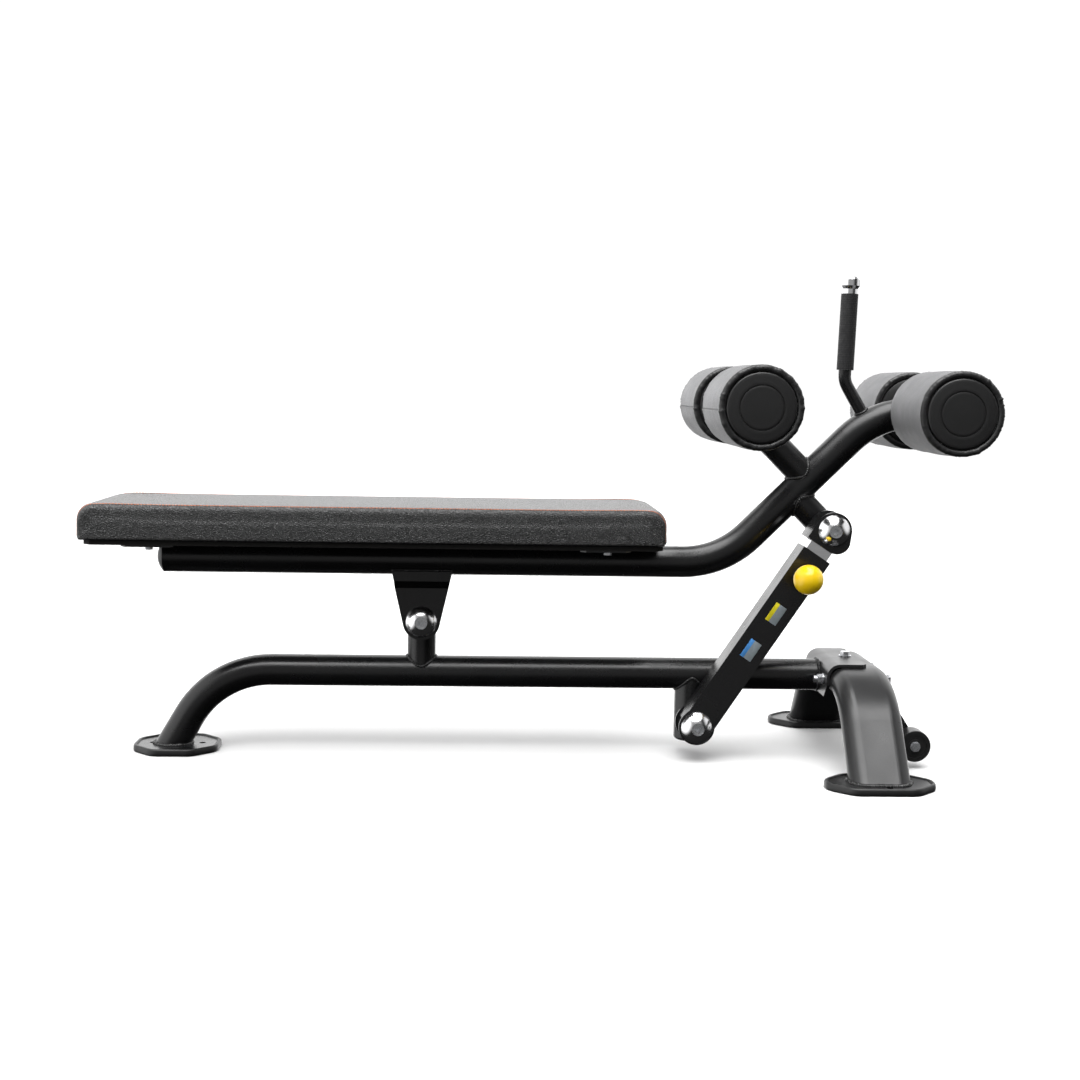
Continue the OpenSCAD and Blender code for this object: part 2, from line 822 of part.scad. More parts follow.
// Plain closed form of the stuffed cushion, with rounded end corners
module pad_cushion() {
    color(leather) slab(-pad_w / 2, pad_w / 2) {
        translate([pad_x[0], pad_z[0]]) square([pad_x[1] - pad_x[0], pad_z[1] - pad_z[0] - pad_corner]);
        translate([pad_x[0] + pad_corner, pad_z[0]])
            square([pad_x[1] - pad_x[0] - 2 * pad_corner, pad_z[1] - pad_z[0]]);
        for (x = [pad_x[0] + pad_corner, pad_x[1] - pad_corner])
            translate([x, pad_z[1] - pad_corner]) circle(pad_corner);
    }
}

module pad_bolts() {
    color(bright) for (x = pad_bolt_x, s = side) translate([x, s * pad_bolt_y, plate_z]) {
        rotate([180, 0, 0]) hex_head(7.5, 5.3, 9, 1.6);
        cylinder(r = pad_bolt_r, h = cross_plate_t + 4);
    }
}

module knee_axle() {
    color(bright) cross_rod(knee, -axle_end, axle_end, axle_d / 2);
}

module ankle_axle() {
    color(bright) cross_rod(ankle, -axle_end, axle_end, axle_d / 2);
}

handle_knee = [591.3, 718];
handle_up = (handle_top - handle_knee) / norm(handle_top - handle_knee);
handle_low = handle_knee + 21 * handle_up;
handle_root = [624.4, 662];
handle_bend_r = 45;
handle_cap_h = 31.2;

module handle_tube() {
    path = [handle_root + (handle_root - handle_knee) * 0.2, handle_knee, handle_top + 6 * handle_up];
    color(paint) difference() {
        bent_tube(path, handle_bend_r, handle_d / 2, 2.5, 0.12);
        bent_tube(bench_path, bend_r, beam_r, beam_r);
    }
}

module handle_grip() {
    color(rubber) along(handle_low, handle_top) difference() {
        cylinder(d = grip_d, h = norm(handle_top - handle_low));
        translate([0, 0, -1]) cylinder(d = handle_d + grip_gap, h = big);
    }
}

// Flared knob on top of the hand grip
module handle_cap() {
    color(bright) along(handle_top, handle_top + handle_up) rotate_extrude() difference() {
        polygon([[0, 6.2], [handle_d / 2 + 1, 6.2], [handle_d / 2 + 1, 0], [15, 0], [15, 9],
            [19, 15], [19, 27], [15, handle_cap_h], [0, handle_cap_h]]);
        translate([0, handle_cap_h - 6]) square([socket_af_r, 7]);
    }
}

// Adjusting post

module sleeve_tube() {
    near = [sleeve_near, sleeve_near + sleeve_wall];
    far = [sleeve_far - sleeve_wall, sleeve_far];
    color(paint) on_post() difference() {
        union() {
            translate([-sleeve_half, sleeve_near, -2]) cube([sleeve_w, sleeve_w, sleeve_top + 2]);
            for (w = [near, far]) post_rod([0, 0], w[0], w[1], ear_r);
        }
        translate([-sleeve_in, post_y - sleeve_in, -3]) cube([2 * sleeve_in, 2 * sleeve_in, sleeve_top + 4]);
        post_rod([0, 0], -big, big, bush_r);
        post_rod([0, pin_s], sleeve_near - 1, post_y, stem_hole_r);
        for (s = liner_screw_s) translate([-sleeve_half - 1, post_y, s]) rotate([0, 90, 0])
            cylinder(r = screw_r, h = 10);
    }
}

stem_hole_r = pin_r + 1;
liner_screw_s = [205, 372];
screw_r = 3;
liner_gap = 0.3;
liner_len = 190;

// Nylon liner that guides the inner bar
module sleeve_liner() {
    inner = bar_half + liner_gap;
    color(plastic) on_post() difference() {
        translate([-sleeve_in, post_y - sleeve_in, sleeve_top - 1 - liner_len])
            cube([2 * sleeve_in, 2 * sleeve_in, liner_len]);
        translate([-inner, post_y - inner, 0]) cube([2 * inner, 2 * inner, big + 200]);
        post_rod([0, pin_s], sleeve_near - 1, post_y, stem_hole_r);
    }
}

module sleeve_pivot_tube() {
    color(paint) on_post() difference() {
        intersection() {
            post_rod([0, 0], sleeve_near + sleeve_wall, sleeve_far - sleeve_wall, pivot_tube_r);
            translate([-sleeve_in, post_y - sleeve_half, -big]) cube([2 * sleeve_in, sleeve_w, 2 * big]);
        }
        post_rod([0, 0], -big, big, bush_r);
    }
}

module sleeve_bushes() {
    color(bronze) for (y = [sleeve_near, sleeve_far - 16]) difference() {
        cross_rod(pivot_c, y, y + 16, bush_r);
        cross_rod(pivot_c, -big, big, axle_r + running_gap);
    }
}

module liner_screws() {
    color(bright) on_post() for (s = liner_screw_s) translate([-sleeve_half + 0.4, post_y, s])
        rotate([0, 90, 0]) cylinder(r = screw_r, h = sleeve_wall - 0.4);
}

// Threaded barrel on the sleeve's near face, with the spring's chamber inside
module plunger_barrel() {
    color(bright) difference() {
        union() {
            cross_rod(pin_at, barrel_end, sleeve_near, barrel_r);
            facing(pin_at, sleeve_near) cylinder(r = 17, h = 7, $fn = 6);
        }
        cross_rod(pin_at, -big, 0, pin_r + running_gap);
        cross_rod(pin_at, cavity_y[1], cavity_y[0], spring_bore_r);
    }
}

module inner_bar() {
    inner = bar_half - bar_wall;
    color(bright) on_post() difference() {
        translate([-bar_half, post_y - bar_half, bar_start]) cube([bar_w, bar_w, post_rest - bar_start]);
        translate([-inner, post_y - inner, bar_start - 1]) cube([2 * inner, 2 * inner, big + 200]);
        post_rod([0, post_rest], -big, big, eye_r);
        for (i = [0 : stops - 1]) post_rod([0, pin_s - i * hole_pitch], -big, post_y, pin_r + 0.6);
    }
}

// Cross tube on the inner bar's end, bored wide of the upper pivot bolt
module inner_bar_eye() {
    color(bright) on_post() difference() {
        post_rod([0, post_rest], post_y - bar_half - 0.5, post_y + bar_half + 0.5, eye_r);
        post_rod([0, post_rest], -big, big, eye_bore_r);
    }
}

// Stepped pin: nose, collar for the spring, and a stem that carries the knob
module plunger_pin() {
    color(bright) {
        cross_rod(pin_at, collar_y, nose_y, pin_r);
        cross_rod(pin_at, collar_y - collar_t, collar_y, collar_r);
        cross_rod(pin_at, knob_y - 8, collar_y - collar_t, stem_r);
    }
}

spring_wire_r = 0.55;
spring_turns = 4.5;
spring_r = 7.6;
spring_sides = 8;
spring_steps = 20;

// Helix between the collar and the chamber's outer end
module pin_spring() {
    y0 = collar_y - collar_t - spring_wire_r - 0.1;
    y1 = cavity_y[1] + spring_wire_r + 0.1;
    count = round(spring_turns * spring_steps);
    points = [for (i = [0 : count], k = [0 : spring_sides - 1])
        let (a = 360 * i / spring_steps, b = 360 * k / spring_sides, r = spring_r + spring_wire_r * cos(b))
        [r * cos(a), y0 + (y1 - y0) * i / count - spring_wire_r * sin(b), r * sin(a)]];
    walls = [for (i = [0 : count - 1], k = [0 : spring_sides - 1])
        let (j = (k + 1) % spring_sides, p = i * spring_sides)
        [p + k, p + j, p + j + spring_sides, p + k + spring_sides]];
    start = [for (k = [spring_sides - 1 : -1 : 0]) k];
    end = [for (k = [0 : spring_sides - 1]) count * spring_sides + k];
    color(bright) translate([pin_at.x, 0, pin_at.y])
        polyhedron(points, concat(walls, [start, end]), convexity = 10);
}

module pull_knob() {
    color(yellow) difference() {
        translate([pin_at.x, knob_y, pin_at.y]) rotate([90, 0, 0]) sphere(knob_r);
        cross_rod(pin_at, knob_y - 8, 0, stem_r);
        cross_rod(pin_at, barrel_end - 8, 0, barrel_r + 1);
    }
}

// Leg rollers. Each is drawn on the +Y side of its axle and mirrored for the near side.

module roller_foam(c) {
    round_r = 9;
    len = roller_out - roller_in;
    color(vinyl) facing(c, roller_in) rotate_extrude() difference() {
        union() {
            square([roller_r - round_r, len]);
            translate([0, round_r]) square([roller_r, len - 2 * round_r]);
            for (z = [round_r, len - round_r]) translate([roller_r - round_r, z]) circle(round_r);
        }
        translate([-roller_r, -1]) square([roller_r + core_r, len + 2]);
        for (z = [-1, len - roller_cap_t]) translate([0, z])
            square([roller_cap_r + 0.3, roller_cap_t + 1]);
    }
}

module roller_core(c) {
    color(plastic) difference() {
        cross_rod(c, roller_in + roller_cap_t, roller_out - roller_cap_t, core_r);
        cross_rod(c, -big, big, core_in_r);
    }
}

groove_r = 39;
groove_w = 1.6;
groove_d = 1.2;

// Discs in a roller's two ends: the outer one is closed and grooved, the inner one passes the axle
module roller_caps(c) {
    color(plastic) {
        difference() {
            cross_rod(c, roller_out - roller_cap_t, roller_out, roller_cap_r);
            facing(c, roller_out - groove_d) linear_extrude(2 * groove_d) ring(groove_r, groove_w);
        }
        difference() {
            cross_rod(c, roller_in, roller_in + roller_cap_t, roller_cap_r);
            cross_rod(c, -big, big, core_in_r);
        }
    }
}

module near() {
    mirror([0, 1, 0]) children();
}

module knee_roller_near_foam() { near() roller_foam(knee); }
module knee_roller_near_core() { near() roller_core(knee); }
module knee_roller_near_caps() { near() roller_caps(knee); }
module knee_roller_far_foam() { roller_foam(knee); }
module knee_roller_far_core() { roller_core(knee); }
module knee_roller_far_caps() { roller_caps(knee); }
module ankle_roller_near_foam() { near() roller_foam(ankle); }
module ankle_roller_near_core() { near() roller_core(ankle); }
module ankle_roller_near_caps() { near() roller_caps(ankle); }
module ankle_roller_far_foam() { roller_foam(ankle); }
module ankle_roller_far_core() { roller_core(ankle); }
module ankle_roller_far_caps() { roller_caps(ankle); }

base_beam();
front_foot_plate();
front_boot();
front_pivot_stub();
front_bushes();
post_stub();
rear_arch();
rear_foot_plates();
rear_boots();
saddle_plate();
saddle_bolts();
wheel_brackets();
wheel_axle_bolts();
lower_pivot_bolt();
lower_pivot_cap();
wheel_near();
wheel_far();
bench_beam();
beam_end_caps();
knee_arm();
post_arm();
post_clevis();
front_pivot_plates();
front_pivot_bolt();
front_pivot_caps();
upper_pivot_bolt();
upper_pivot_caps();
pad_cross_plates();
pad_board();
pad_cushion();
pad_bolts();
knee_axle();
ankle_axle();
handle_tube();
handle_grip();
handle_cap();
sleeve_tube();
sleeve_liner();
sleeve_pivot_tube();
sleeve_bushes();
liner_screws();
plunger_barrel();
inner_bar();
inner_bar_eye();
plunger_pin();
pin_spring();
pull_knob();
knee_roller_near_foam();
knee_roller_near_core();
knee_roller_near_caps();
knee_roller_far_foam();
knee_roller_far_core();
knee_roller_far_caps();
ankle_roller_near_foam();
ankle_roller_near_core();
ankle_roller_near_caps();
ankle_roller_far_foam();
ankle_roller_far_core();
ankle_roller_far_caps();
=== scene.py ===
"""Looks of the adjustable sit-up bench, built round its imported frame. Lengths are in metres."""

import math
import random

import bpy
import numpy as np
from mathutils import Matrix, Vector


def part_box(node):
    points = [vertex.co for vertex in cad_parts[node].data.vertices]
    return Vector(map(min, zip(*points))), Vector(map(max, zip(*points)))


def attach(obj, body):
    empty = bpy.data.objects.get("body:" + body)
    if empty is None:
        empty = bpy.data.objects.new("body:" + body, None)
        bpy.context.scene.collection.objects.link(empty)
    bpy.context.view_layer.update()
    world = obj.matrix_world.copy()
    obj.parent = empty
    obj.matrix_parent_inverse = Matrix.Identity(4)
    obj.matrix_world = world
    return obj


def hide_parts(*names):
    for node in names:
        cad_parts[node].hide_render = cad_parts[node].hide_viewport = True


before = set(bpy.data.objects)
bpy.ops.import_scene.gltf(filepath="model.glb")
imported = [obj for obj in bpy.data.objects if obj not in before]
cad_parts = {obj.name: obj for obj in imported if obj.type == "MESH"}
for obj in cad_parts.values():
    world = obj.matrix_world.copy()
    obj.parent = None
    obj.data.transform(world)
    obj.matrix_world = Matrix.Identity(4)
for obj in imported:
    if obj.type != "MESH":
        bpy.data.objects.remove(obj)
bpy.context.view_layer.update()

MM = 0.001
SLOTS = {n: o.material_slots[0].name.split(".")[0] for n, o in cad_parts.items()}


# ---------------------------------------------------------------- mesh helpers


def new_object(name, verts, faces):
    """A smooth-shaded mesh object, linked to the scene."""
    mesh = bpy.data.meshes.new(name)
    mesh.from_pydata([tuple(v) for v in verts], [], [tuple(f) for f in faces])
    mesh.update()
    mesh.shade_smooth()
    obj = bpy.data.objects.new(name, mesh)
    bpy.context.scene.collection.objects.link(obj)
    return obj


def dress(obj, body, slot, material, *replaced):
    """Gives a piece its material and the body it rides on, and hides the CAD nodes that it stands for. The
    slot is not used.
    """
    if not obj.data.materials:
        obj.data.materials.append(material)
    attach(obj, body)
    if replaced:
        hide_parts(*replaced)
    return obj


def sharpen(obj, degrees):
    """Keeps edges that bend more than this crisp under smooth shading."""
    obj.data.set_sharp_from_angle(angle=math.radians(degrees))
    return obj


class Mesh:
    """Vertices and faces that several shapes add to, so that they become one piece."""

    def __init__(self):
        self.verts, self.faces = [], []

    def rings(self, rings, closed=False, capped=True):
        """Skins a row of rings with equal point counts; capped closes the first and last with one face."""
        count = len(rings[0])
        start = len(self.verts)
        for ring in rings:
            self.verts += [Vector(p) for p in ring]
        pairs = len(rings) if closed else len(rings) - 1
        for j in range(pairs):
            a = start + j * count
            b = start + (j + 1) % len(rings) * count
            for i in range(count):
                k = (i + 1) % count
                self.faces.append([a + i, a + k, b + k, b + i])
        if capped and not closed:
            self.faces.append([start + i for i in reversed(range(count))])
            last = start + (len(rings) - 1) * count
            self.faces.append([last + i for i in range(count)])

    def tube(self, points, radii, sides=8, closed=False):
        """A tube along points, with its own radius at each."""
        count = len(points)
        frames = []
        normal = None
        for i, p in enumerate(points):
            if closed:
                along = points[(i + 1) % count] - points[i - 1]
            else:
                along = points[min(i + 1, count - 1)] - points[max(i - 1, 0)]
            along.normalize()
            if normal is None:
                normal = along.orthogonal().normalized()
            normal = (normal - along * normal.dot(along)).normalized()
            frames.append((p, normal.copy(), along.cross(normal)))
        turn = 2 * math.pi / sides
        self.rings([
            [p + r * (math.cos(k * turn) * n + math.sin(k * turn) * b) for k in range(sides)]
            for (p, n, b), r in zip(frames, radii)
        ], closed=closed)

    def build(self, name):
        return new_object(name, self.verts, self.faces)


def turned_rings(centre, side, profile, sides):
    """Rings of a turned shape round an axis along Y; the profile lists (radius, distance from Y = 0)."""
    angles = [2 * math.pi * side * k / sides for k in range(sides)]
    return [
        [(centre.x + r * math.cos(a), side * y, centre.z + r * math.sin(a)) for a in angles]
        for r, y in profile
    ]


def arc(centre, r, start, end, count):
    """Points on an arc, with angles in degrees."""
    angles = [math.radians(start + (end - start) * k / count) for k in range(count + 1)]
    return [(centre[0] + r * math.cos(a), centre[1] + r * math.sin(a)) for a in angles]


def middle(node):
    """Middle of a CAD node's box."""
    lo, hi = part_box(node)
    return (lo + hi) / 2


# ------------------------------------------------------------------- materials


class Shader:
    """A Principled material whose nodes are added by short calls. Coordinates are the object's own."""

    def __init__(self, name, colour, roughness, **sockets):
        self.material = bpy.data.materials.new(name)
        self.material.use_nodes = True
        self.tree = self.material.node_tree
        self.main = self.tree.nodes["Principled BSDF"]
        self.main.inputs["Base Color"].default_value = (*colour, 1)
        self.main.inputs["Roughness"].default_value = roughness
        for socket, value in sockets.items():
            self.main.inputs[socket.replace("_", " ")].default_value = value
        self.place = self.node("ShaderNodeTexCoord").outputs["Object"]

    def node(self, kind, **inputs):
        """A new node, with each named input set to a number or linked to a socket."""
        node = self.tree.nodes.new(kind)
        for socket, value in inputs.items():
            self.feed(node, socket.replace("_", " "), value)
        return node

    def feed(self, node, socket, value):
        if isinstance(value, bpy.types.NodeSocket):
            self.tree.links.new(value, node.inputs[socket])
        else:
            node.inputs[socket].default_value = value

    def stretched(self, scale):
        """The object's coordinates scaled by a vector."""
        return self.node("ShaderNodeMapping", Vector=self.place, Scale=scale).outputs["Vector"]

    def noise(self, scale, detail=2.0, place=None):
        node = self.node("ShaderNodeTexNoise", Scale=scale, Detail=detail, Vector=place or self.place)
        return node.outputs["Fac"]

    def cells(self, scale, feature="F1", place=None):
        node = self.node("ShaderNodeTexVoronoi", Scale=scale, Vector=place or self.place)
        node.feature = feature
        return node.outputs["Distance"]

    def span(self, value, low, high, start=0.0, end=1.0):
        """Maps value from [start, end] to [low, high]."""
        node = self.node("ShaderNodeMapRange", Value=value, From_Min=start, From_Max=end)
        node.inputs["To Min"].default_value = low
        node.inputs["To Max"].default_value = high
        return node.outputs["Result"]

    def mixed(self, factor, first, second):
        """A colour between two, by a factor."""
        node = self.tree.nodes.new("ShaderNodeMix")
        node.data_type = "RGBA"
        self.tree.links.new(factor, node.inputs["Factor"])
        node.inputs["A"].default_value = (*first, 1)
        node.inputs["B"].default_value = (*second, 1)
        return node.outputs["Result"]

    def vary(self, **sockets):
        """Links node outputs to the shader's own sockets."""
        for socket, value in sockets.items():
            self.feed(self.main, socket.replace("_", " "), value)
        return self

    def bump(self, height, distance, strength=1.0):
        """Adds relief; a second call stacks on the first."""
        node = self.node("ShaderNodeBump", Height=height, Distance=distance, Strength=strength)
        before = self.main.inputs["Normal"]
        if before.is_linked:
            self.tree.links.new(before.links[0].from_socket, node.inputs["Normal"])
        self.tree.links.new(node.outputs["Normal"], before)
        return self


def powder_coat(name, colour, roughness):
    """Semi-gloss powder coat: fine orange peel, with faint uneven gloss."""
    s = Shader(name, colour, roughness)
    s.vary(Roughness=s.span(s.noise(14.0, 4.0), roughness - 0.05, roughness + 0.07, 0.3, 0.7))
    s.vary(Base_Color=s.mixed(s.noise(6.0, 3.0), colour, [1.35 * c for c in colour]))
    return s.bump(s.noise(420.0, 2.0), 0.00012).bump(s.noise(1500.0), 0.00003).material


def chrome():
    """Bright plate with hairline polishing marks."""
    s = Shader("chrome_plate", (0.9, 0.9, 0.91), 0.16, Metallic=1.0)
    marks = s.noise(60.0, 6.0, s.stretched((1, 14, 14)))
    s.vary(Roughness=s.span(marks, 0.12, 0.26, 0.35, 0.75))
    return s.bump(s.noise(45.0, 3.0), 0.00006).material


def bolt_steel():
    """Zinc-plated steel, turned."""
    s = Shader("zinc_steel", (0.66, 0.67, 0.69), 0.3, Metallic=1.0)
    s.vary(Roughness=s.span(s.noise(260.0, 4.0), 0.2, 0.42, 0.3, 0.7))
    s.vary(Base_Color=s.mixed(s.noise(90.0, 4.0), (0.55, 0.56, 0.59), (0.76, 0.77, 0.78)))
    return s.bump(s.noise(900.0, 3.0, s.stretched((1, 6, 1))), 0.00003).material


def bronze():
    s = Shader("sintered_bronze", (0.42, 0.25, 0.1), 0.4, Metallic=1.0)
    s.vary(Base_Color=s.mixed(s.noise(700.0, 3.0), (0.34, 0.2, 0.08), (0.5, 0.31, 0.14)))
    return s.bump(s.cells(1800.0), 0.00004).material


def moulded(name, colour, roughness, grain=900.0, relief=0.00005):
    """Moulded plastic or rubber with a fine spark-eroded grain."""
    s = Shader(name, colour, roughness)
    s.vary(Roughness=s.span(s.noise(grain / 4, 3.0), roughness - 0.06, roughness + 0.08, 0.3, 0.7))
    s.vary(Base_Color=s.mixed(s.noise(25.0, 3.0), colour, [1.4 * c for c in colour]))
    return s.bump(s.cells(grain, "SMOOTH_F1"), relief).bump(s.noise(60.0, 2.0), 0.00005).material


def grip_rubber():
    """Soft grip rubber with fine rings round it and a dusty bloom."""
    s = Shader("grip_rubber", (0.01, 0.01, 0.011), 0.6)
    wave = s.node("ShaderNodeTexWave", Vector=s.place, Scale=95.0, Distortion=0.4)
    wave.bands_direction = "Z"
    s.vary(Roughness=s.span(s.noise(120.0, 3.0), 0.52, 0.72, 0.3, 0.7))
    return s.bump(wave.outputs["Fac"], 0.0002).bump(s.noise(1100.0), 0.00006).material


def leather():
    """Pebbled upholstery leather: irregular raised grains with finer creases between them."""
    s = Shader("pad_leather", (0.008, 0.008, 0.0084), 0.36, Specular_IOR_Level=0.8)
    warp = s.node("ShaderNodeTexNoise", Vector=s.place, Scale=170.0, Detail=2.0).outputs["Color"]
    shifted = s.node("ShaderNodeVectorMath", Vector=warp)
    shifted.operation = "MULTIPLY_ADD"
    shifted.inputs[1].default_value = (0.0035,) * 3
    s.tree.links.new(s.place, shifted.inputs[2])
    place = shifted.outputs["Vector"]
    grains = s.cells(330.0, "DISTANCE_TO_EDGE", place)
    creases = s.cells(900.0, "DISTANCE_TO_EDGE", place)
    rise = s.span(grains, 0.0, 1.0, 0.0, 0.32)
    s.vary(Roughness=s.span(grains, 0.42, 0.24, 0.0, 0.3))
    # Painted shade: the colour is darkest in the creases between the grains and lightest on their raised
    # tops.
    s.vary(Base_Color=s.mixed(rise, (0.003, 0.003, 0.0031), (0.012, 0.012, 0.0125)))
    s.bump(rise, 0.0006).bump(s.span(creases, 0.0, 1.0, 0.0, 0.3), 0.00015, 0.7)
    return s.bump(s.noise(60.0, 3.0), 0.0006, 0.5).material


def vinyl():
    """Soft satin vinyl over foam, with a close knitted grain and a pale sheen."""
    s = Shader("roller_vinyl", (0.075, 0.075, 0.077), 0.62, Sheen_Weight=0.35, Sheen_Roughness=0.45)
    s.main.inputs["Sheen Tint"].default_value = (0.8, 0.8, 0.82, 1)
    grain = s.cells(1150.0, "SMOOTH_F1")
    s.vary(Roughness=s.span(s.noise(35.0, 4.0), 0.55, 0.72, 0.3, 0.7))
    s.vary(Base_Color=s.mixed(s.noise(18.0, 4.0), (0.062, 0.062, 0.064), (0.095, 0.095, 0.098)))
    return s.bump(grain, 0.00022, 0.8).bump(s.noise(55.0, 3.0), 0.0005, 0.5).material


def vinyl_rim_painted_shade():
    """The same cover where it is pulled tight over the rim: glossier and wrinkled, and much darker in colour,
    which is painted shade where the cover turns in towards the disc.
    """
    s = Shader("roller_vinyl_rim", (0.014, 0.014, 0.0145), 0.4)
    s.vary(Roughness=s.span(s.noise(160.0, 4.0), 0.3, 0.52, 0.3, 0.7))
    return s.bump(s.noise(240.0, 4.0), 0.0007, 0.8).bump(s.cells(900.0, "SMOOTH_F1"), 0.0001).material


def thread():
    """Twisted orange-red sewing thread."""
    s = Shader("stitch_thread", (0.6, 0.15, 0.05), 0.5, Sheen_Weight=0.3)
    s.vary(Base_Color=s.mixed(s.noise(900.0, 2.0), (0.5, 0.11, 0.04), (0.8, 0.26, 0.1)))
    return s.bump(s.noise(2600.0), 0.00008).material


def stained_board():
    """Black-stained plywood with its grain just showing."""
    s = Shader("stained_board", (0.005, 0.005, 0.005), 0.8, Specular_IOR_Level=0.2)
    grain = s.noise(20.0, 6.0, s.stretched((1, 16, 30)))
    s.vary(Base_Color=s.mixed(grain, (0.003, 0.003, 0.003), (0.01, 0.009, 0.008)))
    s.vary(Roughness=s.span(grain, 0.6, 0.8, 0.3, 0.7))
    return s.bump(grain, 0.0003).material


def knob_yellow():
    """Glossy moulded yellow, faintly uneven in tone."""
    s = Shader("knob_yellow", (1.0, 0.66, 0.004), 0.3, Coat_Weight=0.25, Coat_Roughness=0.12)
    s.vary(Base_Color=s.mixed(s.noise(30.0, 3.0), (1.0, 0.63, 0.003), (1.0, 0.7, 0.006)))
    s.vary(Roughness=s.span(s.noise(120.0, 3.0), 0.27, 0.36, 0.3, 0.7))
    return s.bump(s.noise(160.0, 2.0), 0.00005).material


def film(name, colour):
    """Printed sticker film, plain and slightly cloudy."""
    s = Shader(name, colour, 0.35)
    s.vary(Base_Color=s.mixed(s.noise(220.0, 4.0), [0.82 * c for c in colour], [1.1 * c for c in colour]))
    return s.bump(s.noise(500.0), 0.00002).material


PAINT = powder_coat("frame_paint", (0.006, 0.006, 0.0064), 0.25)
BOOT_RUBBER = moulded("boot_rubber", (0.008, 0.008, 0.0082), 0.42)
PLASTIC = moulded("black_plastic", (0.011, 0.011, 0.0113), 0.38)
MATERIALS = {
    "frame_paint": PAINT,
    # The arch's copy of the black powder coat is lighter: painted light, standing in for the grey its legs
    # show where the light falls on them.
    "arch_paint": powder_coat("arch_paint", (0.011, 0.011, 0.0115), 0.32),
    "boot_rubber": BOOT_RUBBER,
    "wheel_rubber": moulded("wheel_rubber", (0.009, 0.009, 0.009), 0.35, 500.0),
    "chrome": chrome(),
    "bolt_steel": bolt_steel(),
    "bush_bronze": bronze(),
    "liner_nylon": moulded("liner_nylon", (0.02, 0.02, 0.021), 0.45, 1200.0),
    "black_plastic": PLASTIC,
    "roller_vinyl": vinyl(),
    "pad_leather": leather(),
    "pad_plywood": stained_board(),
    "knob_yellow": knob_yellow(),
}
OWN_FINISH = {"handle_grip": grip_rubber()}

for node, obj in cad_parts.items():
    obj.material_slots[0].material = OWN_FINISH.get(node, MATERIALS[SLOTS[node]])


# ------------------------------------------------------------------ back pad

PAD_LO, PAD_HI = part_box("pad_cushion")
SEAM_DROP = 8 * MM  # the seam lies this far below the top of the block
SEAM_Y = PAD_HI.y - 11 * MM  # where the strip meets the side panels
SEAM_X0, SEAM_X1 = PAD_LO.x - 3 * MM, PAD_HI.x - 2.5 * MM
PAD_TOP_R = 30 * MM
PAD_LOW_R = 6 * MM
SPINE_INSET = 36 * MM  # from each end to the middle line that a side panel's rings close on
STRIP_BULGE = 5.5 * MM
STRIP_EDGE = 22 * MM
PANEL_RINGS = 5
ROLL_ANGLES = (90, 70, 52, 36, 24, 16)  # rows round the roll from a side panel up to its seam, in degrees
# the sewn groove: distance outward from the seam, and depth
SEAM_GROOVE = ((1.2 * MM, 0.6 * MM), (0.4 * MM, 2.6 * MM), (-0.4 * MM, 2.6 * MM), (-1.2 * MM, 0.3 * MM))


def pad_outline():
    """The side panel's closed outline as (point, normal) in X and Z, anticlockwise seen from -Y."""
    x0, x1 = SEAM_X0, SEAM_X1
    z0, z1 = PAD_LO.z, PAD_HI.z - SEAM_DROP
    span = np.linspace(PAD_LO.x + SPINE_INSET, PAD_HI.x - SPINE_INSET, 101)
    corner = np.linspace(x0 + PAD_LOW_R, PAD_LO.x + SPINE_INSET, 4)[:-1]
    out = []

    def line(points, normal):
        out.extend((Vector(p), Vector(normal)) for p in points)

    def bend(cx, cz, r, start, count):
        for k in range(1, count):
            a = math.radians(start + 90 * k / count)
            n = Vector((math.cos(a), math.sin(a)))
            out.append((Vector((cx, cz)) + r * n, n))

    low = [*corner, *span, *(x0 + x1 - corner[::-1])]
    line([(x, z0) for x in low], (0, -1))
    bend(x1 - PAD_LOW_R, z0 + PAD_LOW_R, PAD_LOW_R, -90, 4)
    rise = np.linspace(z0 + PAD_LOW_R, z1 - PAD_TOP_R, 5)
    line([(x1, z) for z in rise], (1, 0))
    bend(x1 - PAD_TOP_R, z1 - PAD_TOP_R, PAD_TOP_R, 0, 8)
    line([(x, z1) for x in span[::-1]], (0, 1))
    bend(x0 + PAD_TOP_R, z1 - PAD_TOP_R, PAD_TOP_R, 90, 8)
    line([(x0, z) for z in rise[::-1]], (-1, 0))
    bend(x0 + PAD_LOW_R, z0 + PAD_LOW_R, PAD_LOW_R, 180, 4)
    return out


def pad_rows():
    """Rows across the cover, from the near side panel to the far one. Each is (y, offset along the
    outline's normal, share of the way in to the panel's middle line)."""
    roll_r = PAD_HI.y - SEAM_Y
    half = [(PAD_HI.y, -roll_r, k / PANEL_RINGS) for k in range(PANEL_RINGS, 0, -1)]
    for a in ROLL_ANGLES:
        a = math.radians(a)
        half.append((SEAM_Y + roll_r * math.sin(a), -roll_r * (1 - math.cos(a)), 0))
    half += [(SEAM_Y + outward, -depth, 0) for outward, depth in SEAM_GROOVE]
    strip = [SEAM_Y - d * MM for d in (3, 6, 10, 15, 21, 30)]
    strip += list(np.linspace(SEAM_Y - 42 * MM, 0, 8))
    half += [(y, crown(y), 0) for y in strip]
    return [(-y, o, k) for y, o, k in half] + [(y, o, k) for y, o, k in half[-2::-1]]


def crown(y):
    """Bulge of the strip beyond its seams: it rises over a narrow edge, and is level between them."""
    return STRIP_BULGE * (1 - max(0, (abs(y) - SEAM_Y + STRIP_EDGE) / STRIP_EDGE) ** 2.4)


